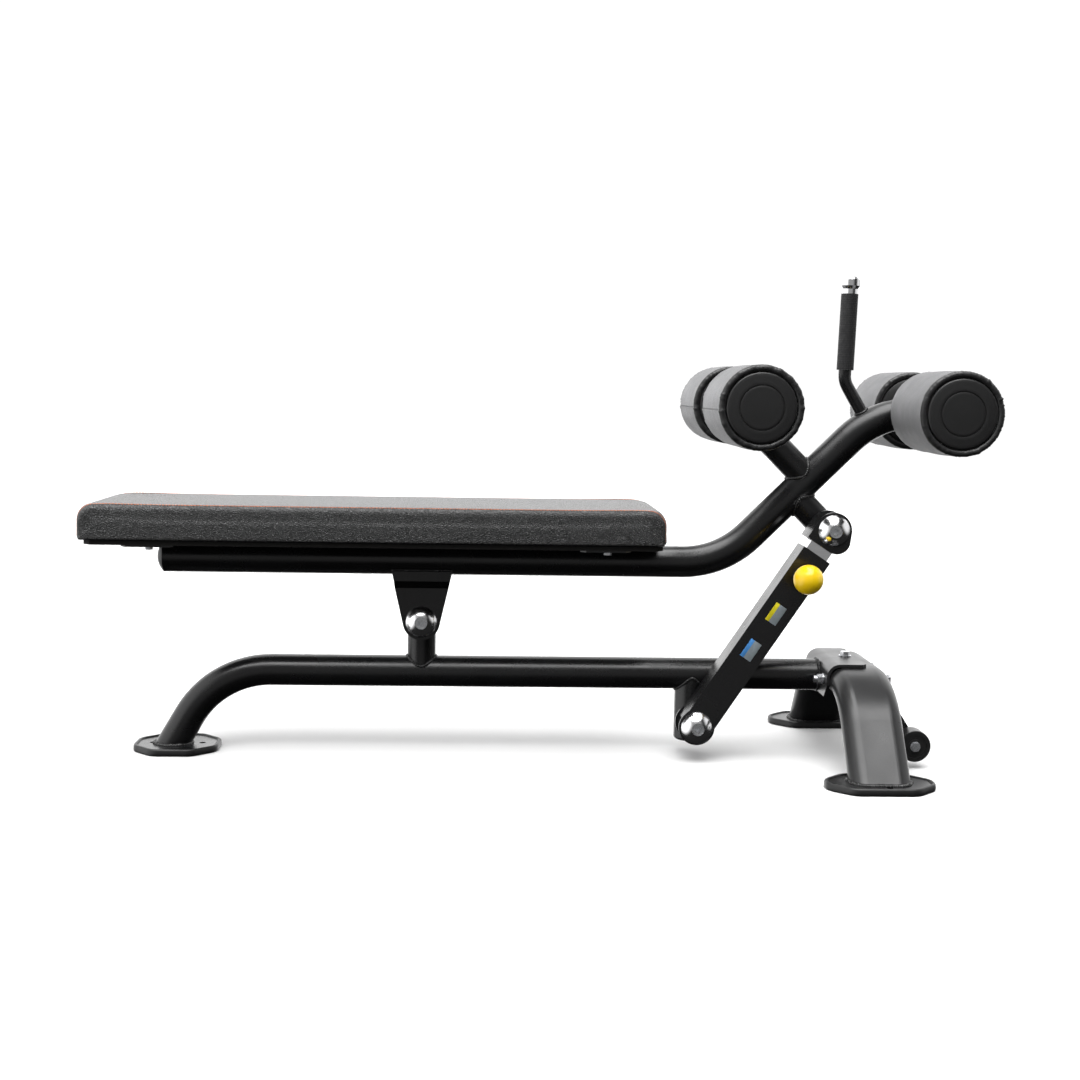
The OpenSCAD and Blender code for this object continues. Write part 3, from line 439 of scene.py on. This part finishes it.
def pad_cover():
    """The cushion's cover: a strip over the top and both ends, sewn to a panel along each side."""
    outline, rows = pad_outline(), pad_rows()
    mid_z = (PAD_LO.z + PAD_HI.z - SEAM_DROP) / 2
    verts, index, grid = [], {}, []
    for y, offset, inward in rows:
        row = []
        for p, n in outline:
            flat = min(1, max(0, (n.y + 0.7) / 0.6))  # offsets fade out on the underside
            upward = max(0, n.y)  # and the strip bulges less on top than at the ends
            keep = flat * (1 - 0.8 * upward * upward) if offset > 0 else 0.35 + 0.65 * flat
            q = p + n * offset * keep
            spine = Vector((min(max(p.x, PAD_LO.x + SPINE_INSET), PAD_HI.x - SPINE_INSET), mid_z))
            q = q.lerp(spine, inward)
            key = (round(q.x, 6), round(y, 6), round(q.y, 6))
            if key not in index:
                index[key] = len(verts)
                verts.append(Vector((q.x, y, q.y)))
            row.append(index[key])
        grid.append(row)
    faces = []
    count = len(outline)
    for j in range(len(grid) - 1):
        for i in range(count):
            k = (i + 1) % count
            loop = [grid[j][i], grid[j][k], grid[j + 1][k], grid[j + 1][i]]
            loop = [v for n, v in enumerate(loop) if v != loop[n - 1]]
            if len(set(loop)) > 2:
                faces.append(loop)
    return new_object("pad_cover", verts, faces), grid, outline


def inflate(obj, pinned, pressure, steps, most):
    """Fills the cover by air pressure as cloth; no point ends further than most from where it began."""
    rest = np.array([v.co for v in obj.data.vertices])
    pins = obj.vertex_groups.new(name="pins")
    pins.add(pinned, 1.0, "REPLACE")
    cloth = obj.modifiers.new("filling", "CLOTH")
    cloth.settings.vertex_group_mass = "pins"
    cloth.settings.use_pressure = True
    cloth.settings.uniform_pressure_force = pressure
    cloth.settings.effector_weights.gravity = 0
    cloth.settings.tension_stiffness = 25
    cloth.settings.compression_stiffness = 25
    cloth.settings.shear_stiffness = 12
    cloth.settings.bending_stiffness = 1.5
    cloth.collision_settings.use_collision = False
    cloth.point_cache.frame_start = 1
    cloth.point_cache.frame_end = steps
    scene = bpy.context.scene
    for step in range(1, steps + 1):
        scene.frame_set(step)
    filled = obj.evaluated_get(bpy.context.evaluated_depsgraph_get()).to_mesh()
    moved = np.array([v.co for v in filled.vertices]) - rest
    size = np.linalg.norm(moved, axis=1, keepdims=True)
    eased = most * np.tanh(size / most)
    final = rest + moved * np.where(size > 0, eased / np.maximum(size, 1e-9), 0)
    obj.modifiers.remove(cloth)
    obj.vertex_groups.remove(pins)
    scene.frame_set(1)
    obj.data.vertices.foreach_set("co", final.astype(np.float32).ravel())
    obj.data.update()


def stitches(name, lines, pitch, length, r):
    """Short capsules of thread along each line of points, each line with its own outward normals."""
    out = Mesh()
    for points, normals in lines:
        steps = [(b - a).length for a, b in zip(points, points[1:])]
        total = sum(steps)
        starts = np.concatenate([[0], np.cumsum(steps)])
        for s in np.arange(pitch, total - pitch, pitch):
            ends = []
            for at in (s, s + length / 3, s + 2 * length / 3, s + length):
                i = min(int(np.searchsorted(starts, at)) - 1, len(steps) - 1)
                t = (at - starts[i]) / steps[i]
                ends.append((points[i].lerp(points[i + 1], t), normals[i].lerp(normals[i + 1], t)))
            lifts = (-0.4 * r, 0.5 * r, 0.5 * r, -0.4 * r)
            out.tube([p + n * lift for (p, n), lift in zip(ends, lifts)], [0.5 * r, r, r, 0.5 * r], 6)
    return out.build(name)


def build_pad():
    """Cover with its stitching, filled and smoothed."""
    cover, grid, outline = pad_cover()
    low = [i for i, (p, n) in enumerate(outline) if n.y < -0.5]
    rows = pad_rows()
    seams = [j for j, (y, o, k) in enumerate(rows) if abs(abs(y) - SEAM_Y) < 1.5 * MM]
    pinned = {grid[j][i] for j in range(len(grid)) for i in low}
    pinned |= {v for j in seams for v in grid[j]}
    inflate(cover, sorted(pinned), 3.0, 14, 1.6 * MM)
    stitched = [j for j, (y, o, k) in enumerate(rows) if 2.5 * MM < abs(y) - SEAM_Y < 3.5 * MM]
    cover.data.update()
    show = [i for i, (p, n) in enumerate(outline) if n.y > -0.5]
    lines = []
    for j in stitched:
        sewn = [cover.data.vertices[grid[j][i]] for i in show]
        lines.append(([v.co.copy() for v in sewn], [v.normal.copy() for v in sewn]))
    pitch, length, thread_r = 5.6 * MM, 4.3 * MM, 0.9 * MM
    thread_line = stitches("pad_stitching", lines, pitch, length, thread_r)
    cover.modifiers.new("smooth", "SUBSURF").levels = 1
    cover.modifiers["smooth"].render_levels = 1
    dress(cover, "upper_frame", "pad_leather", MATERIALS["pad_leather"], "pad_cushion")
    dress(thread_line, "upper_frame", "pad_leather", thread())


build_pad()


# ------------------------------------------------------------------- rollers

POCKET_DEPTH = 5 * MM  # how far the cover reaches in beside the discs
DISC_GAP = 0.4 * MM
SEAM_COLUMNS = (-1.9, -1.1, -0.5, 0.0, 0.5, 1.1, 1.9)  # extra columns at the seam, in degrees from it


def roller_columns(seam):
    """Angles round a roller, closer together at the seam."""
    even = [2 * math.pi * k / 168 for k in range(168)]
    near_seam = [seam + math.radians(d) for d in SEAM_COLUMNS]
    kept = [a for a in even if abs((a - seam + math.pi) % (2 * math.pi) - math.pi) > math.radians(2.6)]
    return sorted([a % (2 * math.pi) for a in kept + near_seam])


def roller_cover(roller, side, seam, seed):
    """Vinyl sleeve over the foam, gathered into a pocket round the disc at each end."""
    foam = f"{roller}_foam"
    lo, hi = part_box(foam)
    centre = (lo + hi) / 2
    y_in, y_out = sorted((abs(lo.y), abs(hi.y)))
    r_out = (hi.z - lo.z) / 2
    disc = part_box(f"{roller}_caps")
    r_disc = (disc[1].z - disc[0].z) / 2 + DISC_GAP
    draw = random.Random(seed)
    turn = 2 * math.pi
    # puckers at the rims are (angle, width, height); waves round the cover are (count, shift, height)
    puckers = [(draw.uniform(0, turn), draw.uniform(0.015, 0.05), draw.uniform(-1.8, 2.2)) for _ in range(16)]
    puckers += [(seam + math.radians(2), 0.03, 2.0), (seam - math.radians(4), 0.035, -1.6)]
    ripples = [(draw.randint(17, 90), draw.uniform(0, turn), draw.uniform(0.15, 0.35)) for _ in range(8)]
    swells = [(draw.randint(2, 5), draw.uniform(0, turn), draw.uniform(0.1, 0.3)) for _ in range(3)]

    def gap(a, b):
        return (a - b + math.pi) % (2 * math.pi) - math.pi

    lip_r = (r_out - r_disc) / 2
    profile = [(r_disc, y_in + POCKET_DEPTH, 0.0), (r_disc + 0.2 * MM, y_in + 2.5 * MM, 0.4)]
    profile += [(r_disc + lip_r + lip_r * math.cos(a), y_in + lip_r - lip_r * math.sin(a), 1.0)
                for a in [math.radians(d) for d in (165, 140, 115, 90, 65, 40, 18)]]
    profile += [(r_out, y, 0.25) for y in (y_in + lip_r, y_in + 13 * MM)]
    profile += [(r_out + 0.5 * MM * math.sin(math.pi * t), y_in + 20 * MM + (y_out - y_in - 40 * MM) * t, 0.0)
                for t in np.linspace(0, 1, 12)]
    profile += [(r_out, y, 0.25) for y in (y_out - 13 * MM, y_out - lip_r)]
    profile += [(r_disc + lip_r + lip_r * math.cos(a), y_out - lip_r + lip_r * math.sin(a), 1.0)
                for a in [math.radians(d) for d in (12, 26, 40, 54, 68, 82, 96, 110, 124, 138, 152, 166)]]
    profile += [(r_disc + 0.3 * MM, y_out - 2.5 * MM, 0.5), (r_disc, y_out - POCKET_DEPTH, 0.0)]
    columns = roller_columns(seam)
    rings = []
    for r, y, loose in profile:
        ring = []
        for a in columns:
            fold = sum(h * math.exp(-((gap(a, at) / w) ** 2)) for at, w, h in puckers)
            fold += sum(h * math.sin(f * a + shift) for f, shift, h in ripples)
            swell = sum(h * math.sin(f * a + shift + 9 * y / y_out) for f, shift, h in swells)
            groove = -1.0 * math.exp(-((gap(a, seam) / math.radians(0.7)) ** 2))
            ridge = 0.45 * math.exp(-((gap(a, seam + math.radians(1.3)) / math.radians(0.8)) ** 2))
            lift = loose * 0.75 * fold + (1 - loose) * swell + (groove + ridge) * (1 if loose < 1 else 0.4)
            out = 1 if y > (y_in + y_out) / 2 else -1
            rr = r + lift * MM * (0.8 if loose == 1.0 else 1.0)
            yy = y + out * loose * 0.5 * fold * MM
            ring.append((centre.x + rr * math.cos(a), side * yy, centre.z + rr * math.sin(a)))
        rings.append(ring if side > 0 else ring[::-1])
    out = Mesh()
    out.rings(rings[::-1], closed=True)
    cover = out.build(f"{roller}_cover")
    count = len(columns)
    cover.data.materials.append(MATERIALS["roller_vinyl"])
    cover.data.materials.append(RIM_PAINTED_SHADE)
    # The rim bands take the darker copy of the vinyl: painted shade round the rim and down into the pocket
    # beside the disc.
    rim_bands = {j for j, (r, y, loose) in enumerate(profile) if loose > 0.3}
    last = len(profile) - 1
    for j in range(len(profile)):
        band = {last - j, last - (j + 1) % len(profile)}
        if band & rim_bands or j == last:
            for k in range(count):
                cover.data.polygons[j * count + k].material_index = 1
    dress(cover, roller, "roller_vinyl", None, foam)
    return cover


def roller_discs(roller, side):
    """Outer disc with its round centre cover, slightly domed, and the plain inner disc round the axle."""
    node = f"{roller}_caps"
    lo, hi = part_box(node)
    centre = (lo + hi) / 2
    y_in, y_out = sorted((abs(lo.y), abs(hi.y)))
    r = (hi.z - lo.z) / 2
    groove = 39 * MM
    thick = 6 * MM
    dome = 2.6 * MM

    def height(at):
        return y_out + dome * (1 - (at / r) ** 2)

    face = [(at, height(at)) for at in (1 * MM, 14 * MM, 26 * MM, 34 * MM)]
    face += [(groove - 1.9 * MM, height(groove) + 0.25 * MM), (groove - 1.0 * MM, height(groove) - 0.15 * MM),
             (groove - 0.6 * MM, height(groove) - 1.6 * MM), (groove + 0.7 * MM, height(groove) - 1.6 * MM),
             (groove + 1.1 * MM, height(groove) - 0.1 * MM), (groove + 2.0 * MM, height(groove) + 0.15 * MM)]
    face += [(at, height(at)) for at in (46 * MM, 54 * MM, r - 3 * MM)]
    face += [(r - 1.2 * MM, y_out - 0.4 * MM), (r - 0.2 * MM, y_out - 1.8 * MM)]
    face += [(r, y_out - 3 * MM), (r, y_out - thick)]
    out = Mesh()
    out.rings(turned_rings(centre, side, face[::-1], 128))
    bore = 12.6 * MM
    ring = [(bore, y_in + thick), (bore, y_in + 0.6 * MM), (bore + 0.6 * MM, y_in), (r - 1.5 * MM, y_in),
            (r, y_in + 1.5 * MM), (r, y_in + thick)]
    out.rings(turned_rings(centre, side, ring, 96), closed=True)
    dress(sharpen(out.build(f"{roller}_discs"), 50), roller, "black_plastic", PLASTIC, node)


RIM_PAINTED_SHADE = vinyl_rim_painted_shade()
ROLLERS = ("knee_roller_near", "knee_roller_far", "ankle_roller_near", "ankle_roller_far")
for number, roller in enumerate(ROLLERS):
    side = -1 if roller.endswith("near") else 1
    seam = math.radians(184) if roller.startswith("knee") else math.radians(20)
    roller_cover(roller, side, seam, 11 + number)
    roller_discs(roller, side)


# --------------------------------------------------------------- rubber boots


def boot_ring(centre, half, cut, r, z):
    """Ring of a rounded octagon: a circle of radius r pushed out to each of its eight corners."""
    x, y = half
    quarter = ((x, y - cut), (x - cut, y))
    corners = [Vector((sx * a, sy * b)) for sx in (-1, 1) for sy in (-1, 1) for a, b in quarter]
    ring = []
    for k in range(96):
        a = 2 * math.pi * (k + 0.5) / 96
        d = Vector((math.cos(a), math.sin(a)))
        p = max(corners, key=lambda c: c.dot(d)) + r * d
        ring.append((centre.x + p.x, centre.y + p.y, z))
    return ring


def boot(out, lo, hi):
    """A boot moulded round its plate: soft outer edges, a rounded rim, and a flat floor inside."""
    centre = (lo + hi) / 2
    r, cut, floor = 34 * MM, 22 * MM, 5 * MM
    half = ((hi.x - lo.x) / 2 - r, (hi.y - lo.y) / 2 - r)
    top = hi.z
    # inset from the outer wall in millimetres, and height
    wall = [(3.2, 0), (1.0, 0.7 * MM), (0.1, 2.6 * MM), (0.0, top / 2), (0.4, top - 3 * MM)]
    wall += [(1.2, top - 1.1 * MM), (2.6, top - 0.15 * MM), (4.4, top), (5.9, top - 0.4 * MM)]
    wall += [(6.9, top - 1.6 * MM), (7.3, floor + 1 * MM), (9.0, floor)]
    out.rings([boot_ring(centre, half, cut, r - inset * MM, z) for inset, z in wall])


REAR_FOOT_Y = 273.8 * MM  # middle of each rear foot


def build_boots():
    front = Mesh()
    boot(front, *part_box("front_boot"))
    dress(sharpen(front.build("front_foot_boot"), 60), "base", "boot_rubber", BOOT_RUBBER, "front_boot")
    rear = Mesh()
    lo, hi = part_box("rear_boots")
    inner_y = 2 * REAR_FOOT_Y - hi.y
    for y0, y1 in ((inner_y, hi.y), (lo.y, -inner_y)):
        boot(rear, Vector((lo.x, y0, lo.z)), Vector((hi.x, y1, hi.z)))
    dress(sharpen(rear.build("rear_foot_boots"), 60), "base", "boot_rubber", BOOT_RUBBER, "rear_boots")


build_boots()


# ---------------------------------------------------------------- weld beads


def saddle_line(foot, arm, r, beam_at, beam, beam_r):
    """Closed line where a round tube of radius r along arm, through foot, meets a round beam."""
    arm, beam = arm.normalized(), beam.normalized()
    u = (beam - arm * beam.dot(arm)).normalized()
    v = arm.cross(u)
    line = []
    for k in range(120):
        a = 2 * math.pi * k / 120
        p = foot + r * (math.cos(a) * u + math.sin(a) * v)
        w = p - beam_at
        w -= beam * w.dot(beam)
        d = arm - beam * arm.dot(beam)
        half_b, c = w.dot(d), w.length_squared - beam_r**2
        root = math.sqrt(max(half_b**2 - d.length_squared * c, 0))
        line.append(p + arm * (-half_b + root) / d.length_squared)
    return line


def oval_line(centre, half_flat, r_x, r_y):
    """Closed flat oval in a level plane: straight sides along X, half-ellipse ends."""
    line = []
    for k in range(120):
        a = 2 * math.pi * k / 120
        shift = half_flat if math.cos(a) >= 0 else -half_flat
        line.append(centre + Vector((shift + r_x * math.cos(a), r_y * math.sin(a), 0)))
    return line


def evenly(line, step, closed):
    """The same line with points a fixed step apart."""
    points = [*line, line[0]] if closed else line
    lengths = np.concatenate([[0], np.cumsum([(b - a).length for a, b in zip(points, points[1:])])])
    count = max(4, round(lengths[-1] / step))
    out = []
    for s in np.linspace(0, lengths[-1], count, endpoint=not closed):
        i = min(max(int(np.searchsorted(lengths, s, side="right")) - 1, 0), len(points) - 2)
        t = (s - lengths[i]) / max(lengths[i + 1] - lengths[i], 1e-9)
        out.append(points[i].lerp(points[i + 1], t))
    return out


def bead(out, line, r, draw, closed=True):
    """A weld bead: overlapping ripples along the line, each a little different."""
    step = 0.9 * MM
    pitch = 3.8 * MM
    points = evenly(line, step, closed)
    phase = draw.uniform(0, 1)
    radii = []
    for i in range(len(points)):
        ripple = (i * step / pitch + phase) % 1
        swell = math.sin(i * 0.13 + 5 * phase) * 0.09 + math.sin(i * 0.31 + 9 * phase) * 0.06
        radii.append(r * (0.84 + 0.3 * ripple**0.6 + swell + draw.uniform(-0.04, 0.04)))
    wander = [Vector([draw.uniform(-0.25, 0.25) * MM for _ in range(3)]) for _ in points]
    out.tube([p + w for p, w in zip(points, wander)], radii, 8, closed=closed)


def build_welds():
    draw = random.Random(5)
    base, upper = Mesh(), Mesh()
    along_x, up = Vector((1, 0, 0)), Vector((0, 0, 1))
    beam_r = 30 * MM
    arm_r = 27 * MM
    base_z = 154 * MM
    bench_z = 369.5 * MM
    plate_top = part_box("front_foot_plate")[1].z
    # the base beam's leg on the front foot plate
    foot = middle("front_foot_plate")
    slope = math.radians(60)
    corner = Vector((-592.9 * MM, 0, base_z))
    leg_x = corner.x - (base_z - plate_top) / math.tan(slope)
    line = oval_line(Vector((leg_x, 0, plate_top)), 0, beam_r / math.sin(slope), beam_r)
    bead(base, line, 4.2 * MM, draw)
    # the arch's legs on the rear foot plates
    arch = middle("rear_arch")
    for side in (-1, 1):
        y = side * 269.1 * MM
        bead(base, oval_line(Vector((arch.x, y, plate_top)), 27.5 * MM, 27.5 * MM, 34.9 * MM), 4.4 * MM, draw)
    # stubs on the base beam
    pivot = middle("front_pivot_bolt")
    beam_at = Vector((0, 0, base_z))
    bead(base, saddle_line(Vector((pivot.x, 0, base_z)), up, arm_r, beam_at, along_x, beam_r), 2.8 * MM, draw)
    stub = middle("post_stub")
    line = saddle_line(Vector((stub.x, 0, base_z)), -up, beam_r - 0.4 * MM, beam_at, along_x, beam_r)
    bead(base, line, 2.8 * MM, draw)
    # the beam's rear end on the saddle plate
    flange_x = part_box("saddle_plate")[0].x
    ring = [Vector((flange_x, beam_r * math.cos(a), base_z + beam_r * math.sin(a)))
            for a in np.linspace(0, 2 * math.pi, 90, endpoint=False)]
    bead(base, ring, 3.0 * MM, draw)
    # arms on the bench beam's rising stretch
    rise = Vector((1, 0, 1)).normalized()
    square = Vector((1, 0, -1)).normalized()
    on_rise = Vector((365.3 * MM, 0, bench_z))
    knee, post = middle("knee_axle"), middle("upper_pivot_bolt")
    for end, away in ((knee, -square), (post, square)):
        end = Vector((end.x, 0, end.z))
        foot = on_rise + rise * (end - on_rise).dot(rise)
        bead(upper, saddle_line(foot, away, arm_r, on_rise, rise, beam_r), 3.0 * MM, draw)
    # cross hubs on the arms
    for end, away, r in ((knee, square, 24 * MM), (post, -square, 30 * MM)):
        end = Vector((end.x, 0, end.z))
        cross = saddle_line(end, away, min(arm_r, r - 0.3 * MM), end, Vector((0, 1, 0)), r)
        if r > arm_r:
            cross = [p for p in cross if p.y > -30 * MM]
        bead(upper, cross, 2.4 * MM, draw, closed=r < arm_r)
    # the hand post on the top bend of the bench beam
    root, low = Vector((624.4 * MM, 0, 662 * MM)), Vector((591.3 * MM, 0, 718 * MM))
    bend_centre = Vector((730.0 * MM, 0, 479.6 * MM))
    out_dir = (root - bend_centre).normalized()
    axis_at = bend_centre + out_dir * 180 * MM
    tangent = Vector((out_dir.z, 0, -out_dir.x))
    bead(upper, saddle_line(root, low - root, 12 * MM, axis_at, tangent, beam_r), 2.6 * MM, draw)
    # pivot lugs along the underside of the bench beam
    lo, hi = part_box("front_pivot_plates")
    lug_y = 23.5 * MM
    lug_z = bench_z - math.sqrt(beam_r**2 - lug_y**2)
    for side in (-1, 1):
        y, z = side * (lug_y + 0.6 * MM), lug_z - 0.6 * MM
        ends = [Vector((x, y, z)) for x in (lo.x + 3 * MM, hi.x - 3 * MM)]
        bead(upper, ends, 2.8 * MM, draw, closed=False)
    # cross plates on top of the bench beam
    lo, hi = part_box("pad_cross_plates")
    for x0, x1 in ((lo.x, -650 * MM), (87 * MM, hi.x)):
        for side in (-1, 1):
            y, z = side * 13 * MM, lo.z - 2.4 * MM
            ends = [Vector((max(x, -686 * MM), y, z)) for x in (x0 + 2 * MM, x1 - 2 * MM)]
            bead(upper, ends, 2.8 * MM, draw, closed=False)
    dress(base.build("base_welds"), "base", "frame_paint", PAINT)
    dress(upper.build("upper_welds"), "upper_frame", "frame_paint", PAINT)


build_welds()


# -------------------------------------------------------------- blank stickers

POST_AT = Vector((314.1 * MM, 0, 67.5 * MM))
POST_UP = (Vector((560.7, 0, 440.5)) - Vector((314.1, 0, 67.5))).normalized()
POST_SIDE = Vector((POST_UP.z, 0, -POST_UP.x))


def film_strip(out, s0, s1, q0, q1, y, thick):
    """A thin rounded plate on the sleeve's near face, from s0 to s1 along the post and q0 to q1 across it."""
    r = 1.2 * MM
    corners = [(s1 - r, q1 - r, 0), (s0 + r, q1 - r, 90), (s0 + r, q0 + r, 180), (s1 - r, q0 + r, 270)]
    edge = [p for s, q, start in corners for p in arc((s, q), r, start, start + 90, 4)]
    levels = [(y + 0.05 * MM, 0), (y - thick * 0.7, 0), (y - thick, 0.15 * MM)]
    mid = Vector(((s0 + s1) / 2, (q0 + q1) / 2))
    rings = []
    for level, inset in levels:
        ring = []
        for p in edge:
            p = Vector(p)
            p += (mid - p).normalized() * inset
            ring.append(POST_AT + POST_UP * p.x + POST_SIDE * p.y + Vector((0, level, 0)))
        rings.append(ring)
    out.rings(rings)


def build_stickers():
    near_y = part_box("sleeve_tube")[0].y
    panel = film("sticker_panel", (0.3, 0.35, 0.38))
    yellow, blue = (1.0, 0.86, 0.03), (0.1, 0.36, 0.85)
    for name, at, colour in (("upper_sticker", 259 * MM, yellow), ("lower_sticker", 177 * MM, blue)):
        length, width, band = 38 * MM, 23.5 * MM, 8 * MM
        for part, q0, q1, material in (("band", -width / 2, -width / 2 + band, film(f"{name}_ink", colour)),
                                       ("panel", -width / 2 + band - 1 * MM, width / 2, panel)):
            out = Mesh()
            lift = 0.35 * MM if part == "band" else 0.25 * MM
            film_strip(out, at - length / 2, at + length / 2, q0, q1, near_y, lift)
            dress(sharpen(out.build(f"{name}_{part}"), 40), "post_sleeve", "liner_nylon", material)


build_stickers()


# -------------------------------------------------------- stage, light, camera


def build_stage():
    """White floor and surround that only the camera sees; the floor takes the soft shadow."""
    floor = new_object("floor", [(-14, -14, 0), (14, -14, 0), (14, 14, 0), (-14, 14, 0)], [(0, 1, 2, 3)])
    paper = bpy.data.materials.new("floor_paper")
    paper.use_nodes = True
    tree = paper.node_tree
    tree.nodes.remove(tree.nodes["Principled BSDF"])
    matt = tree.nodes.new("ShaderNodeBsdfDiffuse")
    matt.inputs["Color"].default_value = (0.74, 0.74, 0.74, 1)
    glow = tree.nodes.new("ShaderNodeEmission")
    glow.inputs["Strength"].default_value = 0.05
    both = tree.nodes.new("ShaderNodeAddShader")
    tree.links.new(matt.outputs[0], both.inputs[0])
    tree.links.new(glow.outputs[0], both.inputs[1])
    tree.links.new(both.outputs[0], tree.nodes["Material Output"].inputs["Surface"])
    floor.data.materials.append(paper)

    bpy.ops.mesh.primitive_uv_sphere_add(segments=48, ring_count=24, radius=13.5)
    surround = bpy.context.object
    surround.name = "surround"
    white = bpy.data.materials.new("surround_white")
    white.use_nodes = True
    tree = white.node_tree
    tree.nodes.remove(tree.nodes["Principled BSDF"])
    glow = tree.nodes.new("ShaderNodeEmission")
    glow.inputs["Strength"].default_value = 1.05
    tree.links.new(glow.outputs[0], tree.nodes["Material Output"].inputs["Surface"])
    surround.data.materials.append(white)
    for obj in (floor, surround):
        obj.visible_diffuse = False
        obj.visible_glossy = False
        obj.visible_transmission = False
        obj.visible_shadow = False


# direction, inner and outer half angle in degrees, strength
SOFTBOXES = [
    ((-0.08, -0.24, 1.0), 18, 38, 7.5),
    ((0.0, 1.0, 0.25), 42, 58, 1.8),
    ((-1.0, -0.1, 0.15), 25, 55, 1.5),
    ((1.0, 0.1, 0.4), 15, 42, 0.9),
    ((-0.1, -1.0, 0.35), 20, 50, 0.3),
]


def build_light():
    """Studio light as soft round sources set far away, in the directions listed above."""
    world = bpy.data.worlds.new("studio")
    bpy.context.scene.world = world
    world.use_nodes = True
    tree = world.node_tree
    way = tree.nodes.new("ShaderNodeTexCoord").outputs["Generated"]
    total = None
    for direction, inner, outer, strength in SOFTBOXES:
        dot = tree.nodes.new("ShaderNodeVectorMath")
        dot.operation = "DOT_PRODUCT"
        tree.links.new(way, dot.inputs[0])
        dot.inputs[1].default_value = Vector(direction).normalized()
        edge = tree.nodes.new("ShaderNodeMapRange")
        edge.interpolation_type = "SMOOTHSTEP"
        edge.inputs["From Min"].default_value = math.cos(math.radians(outer))
        edge.inputs["From Max"].default_value = math.cos(math.radians(inner))
        edge.inputs["To Max"].default_value = strength
        tree.links.new(dot.outputs["Value"], edge.inputs["Value"])
        if total is None:
            total = edge.outputs["Result"]
        else:
            add = tree.nodes.new("ShaderNodeMath")
            tree.links.new(total, add.inputs[0])
            tree.links.new(edge.outputs["Result"], add.inputs[1])
            total = add.outputs["Value"]
    fill = tree.nodes.new("ShaderNodeMath")
    fill.inputs[1].default_value = 0.015
    tree.links.new(total, fill.inputs[0])
    sky = tree.nodes["Background"]
    sky.inputs["Color"].default_value = (1, 1, 1, 1)
    tree.links.new(fill.outputs["Value"], sky.inputs["Strength"])


CAMERA_AT = Vector((-0.1042, -3.0, 0.70395))
CAMERA_YAW, CAMERA_PITCH, CAMERA_ROLL = 0.0408, 0.09827, 0.01634
CAMERA_LENS = 52.861


def build_camera():
    data = bpy.data.cameras.new("camera")
    data.sensor_width = 36
    data.lens = CAMERA_LENS
    camera = bpy.data.objects.new("camera", data)
    bpy.context.scene.collection.objects.link(camera)
    level = math.cos(CAMERA_PITCH)
    ahead = Vector((math.sin(CAMERA_YAW) * level, math.cos(CAMERA_YAW) * level, -math.sin(CAMERA_PITCH)))
    right = Vector((math.cos(CAMERA_YAW), -math.sin(CAMERA_YAW), 0))
    up = right.cross(ahead)
    c, s = math.cos(CAMERA_ROLL), math.sin(CAMERA_ROLL)
    axes = Matrix((c * right + s * up, c * up - s * right, -ahead)).transposed()
    camera.matrix_world = Matrix.Translation(CAMERA_AT) @ axes.to_4x4()
    bpy.context.scene.camera = camera


build_stage()
build_light()
build_camera()
bpy.context.scene.view_settings.view_transform = "Standard"
